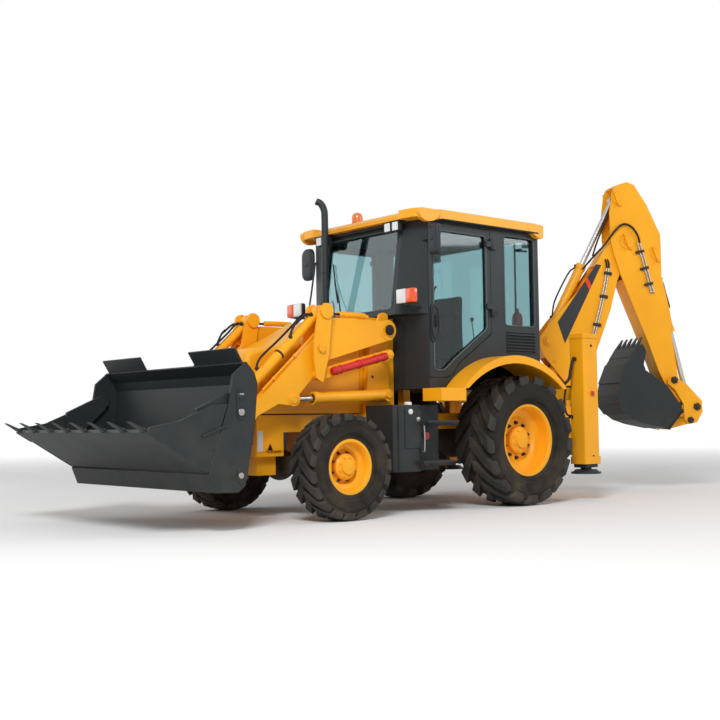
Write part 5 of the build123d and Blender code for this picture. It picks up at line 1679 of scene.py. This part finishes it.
@dataclass
class BucketDress(Dresser):
    """Side pins, covers, wear strips and bolts of the loader bucket.

    Attributes:
        side_y: Outer face of the bucket's sides.
    """

    side_y: float = 1.19

    def build(self) -> None:
        """Dress both sides of the bucket and its lip."""
        covers, pins, bars, bolts = Shape(), Shape(), Shape(), Shape()
        for side, _ in SIDES:
            y = side * self.side_y
            pear = [(2.985, 1.16), (3.045, 1.16), (3.055, 1.08), (3.05, 0.95), (3.035, 0.905), (2.995, 0.905),
                    (2.98, 0.95), (2.975, 1.08)]
            covers.extend(side_plate(rounded(pear, 0.03, 5), y, y + side * 0.006))
            covers.extend(side_plate(panel(2.99, 1.128, 3.04, 1.072, 0.025, 6), y, y + side * 0.016))
            foot = [(2.99, 0.52), (3.05, 0.52), (3.05, 0.43), (3.03, 0.385), (2.985, 0.395)]
            covers.extend(side_plate(rounded(foot, 0.025, 5), y, y + side * 0.006))
            pins.extend(button((3.015, y + side * 0.004, 0.968), (0, side, 0), 0.029, 0.014, 28))
            pins.extend(button((3.021, y + side * 0.004, 0.458), (0, side, 0), 0.025, 0.012, 28))
            pins.extend(side_plate(panel(2.995, 1.122, 3.036, 1.108, 0.006), y + side * 0.014, y + side * 0.019))
            bars.extend(side_plate([(3.15, 0.853), (3.38, 0.772), (3.385, 0.792), (3.155, 0.873)], y,
                                   y + side * 0.01))
        lip, rise = Vector((3.8615, 0, 0.831)), Vector((0.853, 0, 0.522))
        up = Vector((-rise.z, 0, rise.x))
        for index in range(8):
            tooth_y = -1.13 + index * 2.26 / 7
            foot = lip + rise * 0.012 + up * 0.004
            for offset in (-0.018, 0.018):
                bolts.extend(button((foot.x, tooth_y + offset, foot.z + 0.006), tuple(up), 0.01, 0.008, 6))
            bars.extend(plate(panel(-0.11, -0.04, 0.03, 0.04, 0.012), (lip.x, tooth_y, lip.z), tuple(rise),
                              (0, -1, 0), 0.004, -0.008))
        self.shop.piece("bucket_side_covers", covers, "bucket_paint", "loader_bucket")
        self.shop.piece("bucket_side_pins", pins, "bright_steel", "loader_bucket")
        self.shop.piece("jaw_strips", bars, "bucket_paint", "bucket_jaw")
        self.shop.piece("tooth_bolts", bolts, "cast_dark", "bucket_jaw")


@dataclass
class NoseDress(Dresser):
    """Blank plate, tie-down eye with a painted shade for its hole, and grille of the nose.

    Attributes:
        face: Side face of the nose.
        front: Front face of the nose.
    """

    face: float = 0.4
    front: float = 2.3065

    def build(self) -> None:
        """Dress the nose."""
        blank, eye, hole_shade = Shape(), Shape(), Shape()
        for side, _ in SIDES:
            y = side * self.face
            blank.extend(side_plate(panel(2.238, 0.618, 2.3, 0.808, 0.008), y, y + side * 0.004))
            angle = np.linspace(0, math.pi, 17)
            lobe = np.column_stack([2.125 + 0.085 * np.cos(angle), 0.625 + 0.098 * np.sin(angle)])
            eye.extend(side_plate(lobe, y, y + side * 0.022))
            # The eye's triangular hole is a near-black plate: painted shade where the hole is.
            hole_shade.extend(side_plate(rounded([(2.14, 0.628), (2.206, 0.628), (2.174, 0.694)], 0.012), y,
                                   y + side * 0.0235))
        grille = Shape()
        for z in np.linspace(0.63, 0.86, 9):
            grille.extend(soft_box((self.front - 0.004, -0.3, z), (self.front + 0.008, 0.3, z + 0.012), 0.004))
        self.shop.piece("nose_blank_plates", blank, "blank_plate")
        self.shop.piece("nose_eyes", eye, "yellow_paint")
        self.shop.piece("nose_eye_hole_shade", hole_shade, "hose_rubber")
        self.shop.piece("nose_grille", grille, "hose_rubber")


@dataclass
class SideBoxDress(Dresser):
    """Caps, treads, reflectors and edge strips of the side tanks and steps.

    Attributes:
        main_y: Outer face of the tank.
        step_y: Outer face of the rear part.
    """

    main_y: float = 0.96
    step_y: float = 0.78

    def build(self) -> None:
        """Dress both sides."""
        white, dark, red, steel = Shape(), Shape(), Shape(), Shape()
        for side, _ in SIDES:
            y = side * self.main_y
            white.extend(button((0.93, side * 0.925, 1.028), (0, 0, 1), 0.036, 0.03, 28))
            white.extend(button((0.94, y - side * 0.002, 0.965), (0, side, 0), 0.026, 0.022, 24))
            steel.extend(button((0.842, y - side * 0.002, 0.892), (0, side, 0), 0.024, 0.02, 24))
            red.extend(button((0.56, side * self.step_y, 0.73), (0, side, 0), 0.04, 0.012, 28))
            dark.extend(button((0.56, side * self.step_y, 0.73), (0, side, 0), 0.047, 0.008, 28))
            for level, x0, x1 in ((0.85, 0.42, 0.812), (0.47, 0.48, 0.87)):
                for x in np.linspace(x0 + 0.01, x1 - 0.02, 9):
                    dark.extend(soft_box((x, side * (self.step_y + 0.012), level - 0.001),
                                         (x + 0.018, side * 1.068, level + 0.01), 0.004))
                dark.extend(soft_box((x0, side * 1.066, level - 0.02), (x1, side * 1.084, level + 0.012), 0.006))
            for x in (0.815, 1.098):
                dark.extend(soft_box((x - 0.004, y - side * 0.001, 0.42), (x + 0.004, y + side * 0.005, 1.01), 0.002))
            steel.extend(hose([(0.79, y, 0.84), (0.79, y + side * 0.035, 0.83), (0.79, y + side * 0.035, 0.6),
                               (0.79, y, 0.59)], 0.008))
        self.shop.piece("tank_caps", white, "white_plastic")
        self.shop.piece("step_treads", dark, "step_rubber")
        self.shop.piece("step_reflectors", red, "lamp_red")
        self.shop.piece("tank_fittings", steel, "bright_steel")


# ---------------------------------------------------------------- backhoe


@dataclass
class HoeDress(Dresser):
    """Stripe, lines, hoses, pins and keeper bars of the backhoe.

    Places are given as in its own plane: distance behind the swing pin, height, and distance to the left.

    Attributes:
        swing: Place of the swing pin.
        behind: Direction in which the boom reaches.
        left: Direction across the boom.
        boom_half: Half width of the boom.
        dipper_half: Half width of the dipper.
    """

    swing: Pair = (-2.0435, -0.13)
    behind: Point = (-0.8829, 0.4695, 0.0)
    left: Point = (0.4695, 0.8829, 0.0)
    boom_half: float = 0.1
    dipper_half: float = 0.126

    def at(self, behind: float, height: float, left: float) -> Point:
        """Turn a place in the backhoe's plane into a point."""
        return (self.swing[0] + behind * self.behind[0] + left * self.left[0],
                self.swing[1] + behind * self.behind[1] + left * self.left[1], height)

    def slab(self, outline: Outline, low: float, high: float) -> Shape:
        """Outline in the backhoe's plane, drawn out from low to high across it."""
        return plate(outline, (*self.swing, 0), self.behind, (0, 0, 1), min(low, high), max(low, high))

    def line(self, controls: list[Point], radius: float, shift: float = 0.0) -> Shape:
        """Hose or tube through places of the backhoe's plane, all of them shifted rearwards."""
        return hose([self.at(behind + shift, height, left) for behind, height, left in controls], radius)

    def head(self, place: Pair, reach: float, side: int, radius: float, height: float,
             sides: int = 24) -> Shape:
        """Pin head on one face."""
        return button(self.at(*place, side * reach), tuple(side * c for c in self.left), radius, height, sides)

    def stripe(self) -> None:
        """Grey stripe with a red slash on both faces of the boom.

        The stripe lies between two straight lines; a share along each of them gives the slash's corners.
        """
        grey, red = Shape(), Shape()

        def front(share: float) -> Pair:
            """Point on the stripe's front edge."""
            return (0.312 + 0.508 * share, 2.025 + 0.7 * share)

        def back(share: float) -> Pair:
            """Point on its back edge."""
            return (0.398 + 0.487 * share, 1.77 + 0.945 * share)

        for side, _ in SIDES:
            low, high = side * self.boom_half, side * (self.boom_half + 0.0022)
            grey.extend(self.slab([back(0), front(0), front(0.71), back(0.675)], low, high))
            grey.extend(self.slab([back(0.735), front(0.77), front(1), back(1)], low, high))
            red.extend(self.slab([back(0.675), front(0.71), front(0.77), back(0.735)], low, high))
        self.shop.piece("boom_stripe", grey, "stripe_grey", "boom", 0.0)
        self.shop.piece("boom_stripe_slash", red, "stripe_red", "boom", 0.0)

    def boom_lines(self) -> None:
        """Steel lines and clamps down the boom's left face, and hoses that leave them at the foot."""
        steel, clamps, rubber = Shape(), Shape(), Shape()
        out = self.boom_half + 0.012
        pipe = [(0.56, 1.42, out), (0.69, 1.66, out), (0.76, 1.91, out), (0.845, 2.2, out), (0.915, 2.48, out),
                (0.95, 2.68, out)]
        upper = [pipe[-1], (0.95, 2.73, out), (0.94, 2.785, 0.098)]
        lower = [pipe[0], (0.52, 1.32, 0.118), (0.48, 1.18, 0.125), (0.455, 1.02, out)]
        for shift in (0.0, 0.03):
            steel.extend(self.line(pipe, 0.009, shift))
            rubber.extend(self.line(upper, 0.011, shift))
            rubber.extend(self.line(lower, 0.011, shift))
        strap = np.array([(-0.04, -0.018), (0.055, -0.03), (0.06, 0.006), (-0.035, 0.018)])
        for place in ((0.705, 1.66), (0.8, 2.00), (0.895, 2.34), (0.955, 2.62)):
            clamps.extend(self.slab(rounded(strap + place, 0.008), self.boom_half, self.boom_half + 0.024))
        self.shop.piece("boom_lines", steel, "bright_steel", "boom", 50.0)
        self.shop.piece("boom_line_clamps", clamps, "cast_dark", "boom")
        self.shop.piece("boom_hoses", rubber, "hose_rubber", "boom", 50.0)

    def dipper_lines(self) -> None:
        """Hose arc over the boom head, and the steel lines that it feeds on the dipper."""
        out = self.dipper_half + 0.026
        arc = self.line([(0.64, 2.66, 0.11), (0.79, 2.82, 0.112), (0.92, 2.955, 0.132), (1.03, 3.1, out),
                         (1.15, 3.205, out), (1.26, 3.185, out), (1.34, 3.09, out), (1.375, 2.99, out - 0.006)],
                        0.012)
        made = self.shop.piece("dipper_hose_arc", arc, "hose_rubber", None, 60.0)
        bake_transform(made)
        inner = self.line([(0.8, 2.83, 0.05), (0.85, 2.98, 0.058), (0.92, 3.14, 0.062), (1.000, 3.3, 0.06),
                           (1.08, 3.42, 0.056)], 0.011)
        inside = self.shop.piece("dipper_inner_hose", inner, "hose_rubber", None, 60.0)
        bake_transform(inside)
        steel, clamps = Shape(), Shape()
        pipe = [(1.375, 2.99, 0.142), (1.43, 2.8, 0.14), (1.49, 2.58, 0.14), (1.535, 2.41, 0.14)]
        for shift in (0.0, -0.034):
            steel.extend(self.line(pipe, 0.01, shift))
            steel.extend(self.head((1.54 + shift, 2.395), self.dipper_half, 1, 0.017, 0.024, 6))
        strap = np.array([(-0.075, -0.03), (0.03, -0.004), (0.024, 0.028), (-0.081, 0.002)])
        for place in ((1.4, 2.88), (1.455, 2.68), (1.505, 2.49)):
            clamps.extend(self.slab(rounded(strap + place, 0.008), self.dipper_half, self.dipper_half + 0.026))
        self.shop.piece("dipper_lines", steel, "bright_steel", "dipper", 50.0)
        self.shop.piece("dipper_line_clamps", clamps, "cast_dark", "dipper")

    def ram_hoses(self) -> None:
        """Bowed hose along the dipper ram and a port line on each of the other barrels."""
        for name, base, tip, length, radius, bow in (
            ("dipper_ram_barrel", (0.19, 1.8), (1.095, 3.525), 1.00, 0.058, 0.05),
            ("boom_ram_barrel", (0.09, 1.16), (0.725, 2.08), 0.78, 0.065, 0.02),
            ("hoe_bucket_ram_barrel", (1.59, 2.85), (2.045, 1.000), 0.66, 0.05, 0.018),
        ):
            reach = math.hypot(tip[0] - base[0], tip[1] - base[1])
            along = ((tip[0] - base[0]) / reach, (tip[1] - base[1]) / reach)
            front = (-along[1], along[0])

            def at(distance: float, out: float) -> Point:
                """Place beside the barrel."""
                return (base[0] + along[0] * distance + front[0] * out, base[1] + along[1] * distance
                        + front[1] * out, 0.0)

            r = radius
            path = [at(0.3, r * 0.8), at(0.36, r + 0.016), at(0.48, r + bow), at(0.66, r + bow + 0.006),
                    at(length - 0.12, r + bow * 0.9), at(length - 0.04, r + 0.014), at(length, r * 0.8)]
            shape = self.line(path, 0.01)
            for distance in (0.3, length):
                shape.extend(hose_nut(Vector(self.at(*at(distance, r - 0.006))),
                                      Vector(self.at(*front, 0)) - Vector(self.at(0, 0, 0)), 0.017, 0.024, 0.012))
            self.shop.piece(f"{name}_hose", shape, "hose_rubber", name, 50.0)

    def pins(self) -> None:
        """Pin heads, keeper bars and bolts on the boom, dipper and levers."""
        heads, keepers, boom_heads, post_heads = Shape(), Shape(), Shape(), Shape()
        for side, _ in SIDES:
            for place, radius in (((1.755, 1.324), 0.046), ((2.045, 1.000), 0.048), ((1.955, 0.839), 0.042)):
                heads.extend(self.head(place, 0.184, side, radius, 0.026, 6))
                heads.extend(self.head(place, 0.208, side, radius * 0.5, 0.014, 24))
            for place, reach in (((1.215, 3.000), 0.144), ((1.59, 2.85), 0.138), ((1.095, 3.525), 0.134)):
                bar = rounded([(-0.058, 0.092), (-0.016, 0.102), (0.052, -0.084), (0.012, -0.098)], 0.016)
                keepers.extend(self.slab(bar + np.array(place), side * 0.13, side * (reach + 0.022)))
                for da, dz in ((-0.028, 0.074), (0.026, -0.068)):
                    keepers.extend(self.head((place[0] + da, place[1] + dz), reach + 0.021, side, 0.011, 0.009, 6))
            boom_heads.extend(self.head((0.19, 1.8), 0.108, side, 0.04, 0.012, 28))
            boom_heads.extend(self.head((0.275, 1.56), 0.1, side, 0.016, 0.01, 6))
            post_heads.extend(self.head((0.09, 1.16), 0.15, side, 0.045, 0.016, 28))
        self.shop.piece("lever_pin_heads", heads, "cast_dark", "hoe_levers")
        self.shop.piece("dipper_keepers", keepers, "yellow_paint", "dipper")
        self.shop.piece("boom_pin_heads", boom_heads, "yellow_paint", "boom")
        self.shop.piece("kingpost_pin_heads", post_heads, "yellow_paint", "kingpost")

    def legs(self) -> None:
        """Reflectors and bolts on the stabilizer housings, and the hoses that loop in front of them."""
        red, hoses, fittings = Shape(), Shape(), Shape()
        upper = [(-1.45, 1.02, 1.52), (-1.4, 1.02, 1.5), (-1.362, 1.02, 1.4), (-1.33, 1.02, 1.3), (-1.25, 1.0, 1.235),
                 (-1.18, 0.99, 1.215), (-1.13, 0.98, 1.23)]
        lower = [(-1.43, 0.96, 1.22), (-1.34, 0.98, 1.215), (-1.285, 1.0, 1.14), (-1.27, 1.0, 1.04),
                 (-1.33, 0.98, 0.93), (-1.44, 0.96, 0.9)]
        paths = ((upper, 0.016), (lower, 0.011))
        for side, _ in SIDES:
            red.extend(soft_box((-1.6, side * 1.14, 1.12), (-1.552, side * 1.149, 1.17), 0.003))
            for path, radius in paths:
                hoses.extend(hose([(x, side * y, z) for x, y, z in path], radius))
            for y, z in ((1.02, 1.52), (0.96, 0.9)):
                fittings.extend(hose_nut(Vector((-1.441, side * y, z)), Vector((1, 0, 0)), 0.022, 0.03, 0.016))
            for z in (1.66, 0.47):
                fittings.extend(button((-1.575, side * 1.13, z), (0, side, 0), 0.014, 0.01, 6))
        self.shop.piece("leg_reflectors", red, "lamp_red")
        self.shop.piece("leg_hoses", hoses, "hose_rubber", smooth=50.0)
        self.shop.piece("leg_fittings", fittings, "cast_dark")

    def build(self) -> None:
        """Dress the backhoe."""
        self.stripe()
        self.boom_lines()
        self.dipper_lines()
        self.ram_hoses()
        self.pins()
        self.legs()


# ---------------------------------------------------------------- stage


@dataclass
class Stage:
    """Camera, lights, world and floor.

    Attributes:
        camera_place: Where the camera stands.
        heading: Turn of the view about the vertical, radians.
        pitch: How far it looks up, radians.
        roll: Lean of the camera, radians.
        focal: Focal length on a 36 mm sensor, millimetres.
    """

    camera_place: Point = (8.1933, 8.7737, 0.8907)
    heading: float = 0.866
    pitch: float = 0.0533
    roll: float = -0.0136
    focal: float = 56.47

    def camera(self) -> None:
        """Stand the camera where it looks from the front left at chest height."""
        data = bpy.data.cameras.new("camera")
        data.lens = self.focal
        data.sensor_width = 36.0
        data.clip_end = 200.0
        forward = Vector((-math.cos(self.heading) * math.cos(self.pitch),
                          -math.sin(self.heading) * math.cos(self.pitch), math.sin(self.pitch)))
        right = forward.cross(UP).normalized()
        up = right.cross(forward)
        tilted_right = right * math.cos(self.roll) + up * math.sin(self.roll)
        tilted_up = up * math.cos(self.roll) - right * math.sin(self.roll)
        made = add_object("camera", data)
        turn = Matrix((tilted_right, tilted_up, -forward)).transposed()
        made.matrix_world = Matrix.Translation(self.camera_place) @ turn.to_4x4()
        bpy.context.scene.camera = made

    def lamp(self, name: str, place: tuple, target: tuple, size: float, power: float) -> None:
        """Add a square soft lamp.

        Args:
            name: Its name.
            place: Where it hangs.
            target: The point that it faces.
            size: Its side.
            power: Its power in watts.
        """
        data = bpy.data.lights.new(name, "AREA")
        data.size = size
        data.energy = power
        direction = Vector(target) - Vector(place)
        turn = direction.to_track_quat("-Z", "Y").to_matrix().to_4x4()
        add_object(name, data).matrix_world = Matrix.Translation(place) @ turn

    def world(self) -> None:
        """Even pale light, with white for what the camera, gloss and glass see."""
        world = bpy.data.worlds.new("studio")
        world.use_nodes = True
        bpy.context.scene.world = world
        g = Graph(world.node_tree)
        background = world.node_tree.nodes["Background"]
        path = g.node("LightPath")
        seen = g.math("MAXIMUM", path.outputs["Is Camera Ray"], path.outputs["Is Transmission Ray"])
        seen = g.math("MAXIMUM", seen, g.math("MULTIPLY", path.outputs["Is Glossy Ray"], 0.6))
        background.inputs["Color"].default_value = (1.0, 1.0, 1.0, 1.0)
        g.join(g.math("ADD", g.math("MULTIPLY", seen, 0.62), 0.38), background.inputs["Strength"])

    def floor(self) -> None:
        """Pale floor that fades into the white beyond it."""
        mesh = bpy.data.meshes.new("floor")
        reach = 60.0
        mesh.from_pydata([(-reach, -reach, 0), (reach, -reach, 0), (reach, reach, 0), (-reach, reach, 0)], [],
                         [(0, 1, 2, 3)])
        material, g, shader = new_material("floor_white", {
            "Base Color": (0.93, 0.93, 0.93, 1.0), "Roughness": 0.9, "Specular IOR Level": 0.1})
        distance = g.node("VectorMath", operation="LENGTH")
        g.join(g.node("TexCoord").outputs["Object"], distance.inputs[0])
        g.join(g.ramp(distance.outputs["Value"], 22.0, 6.0), shader.inputs["Alpha"])
        mesh.materials.append(material)
        add_object("floor", mesh)

    def build(self) -> None:
        """Make the whole stage."""
        bpy.context.scene.view_settings.view_transform = "Standard"
        self.camera()
        self.world()
        self.floor()
        self.lamp("key", (9.0, 8.0, 9.0), (0.5, 0.0, 1.2), 3.5, 1150.0)
        self.lamp("rim", (-7.0, 7.0, 6.0), (-1.0, 0.0, 1.5), 4.0, 220.0)
        self.lamp("fill", (6.0, -8.0, 5.0), (0.0, 0.0, 1.2), 6.0, 160.0)


def main() -> None:
    """Load the frame, dress it and build every sub-assembly."""
    logging.basicConfig(level=logging.INFO, format="%(message)s")
    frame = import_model()
    Stage().build()
    shop = Workshop()
    slots = {row["node"]: row["material_slot"] for row in frame["record"]["subparts"]}
    for name, node in frame["nodes"].items():
        shop.body_of[name] = node["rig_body"]
        shop.dress(node, NODE_FINISH.get(name, SLOT_FINISH.get(slots[name], slots[name])))
    for side, name in SIDES:
        for axle, numbers in TYRES.items():
            Tyre(shop, f"{axle}_{name}_tyre", f"{axle}_{name}_wheel", **numbers).build()
        for axle, numbers in RIMS.items():
            WheelDress(shop, f"{axle}_{name}_rim", f"{axle}_{name}_wheel", side, **numbers).build()
    for kind in (LoaderDress, BucketDress, NoseDress, SideBoxDress, HoeDress, Lighting, Mirrors, Exhaust, CabTrim):
        kind(shop).build()
    Pad(shop, "seat_cushion", (-0.493, -0.24, 1.56), (-0.014, 0.24, 1.66)).build(0.7)
    Pad(shop, "seat_back", (-0.594, -0.23, 1.56), (-0.494, 0.23, 2.25), upright=True).build(0.6)


if __name__ == "__main__":
    main()
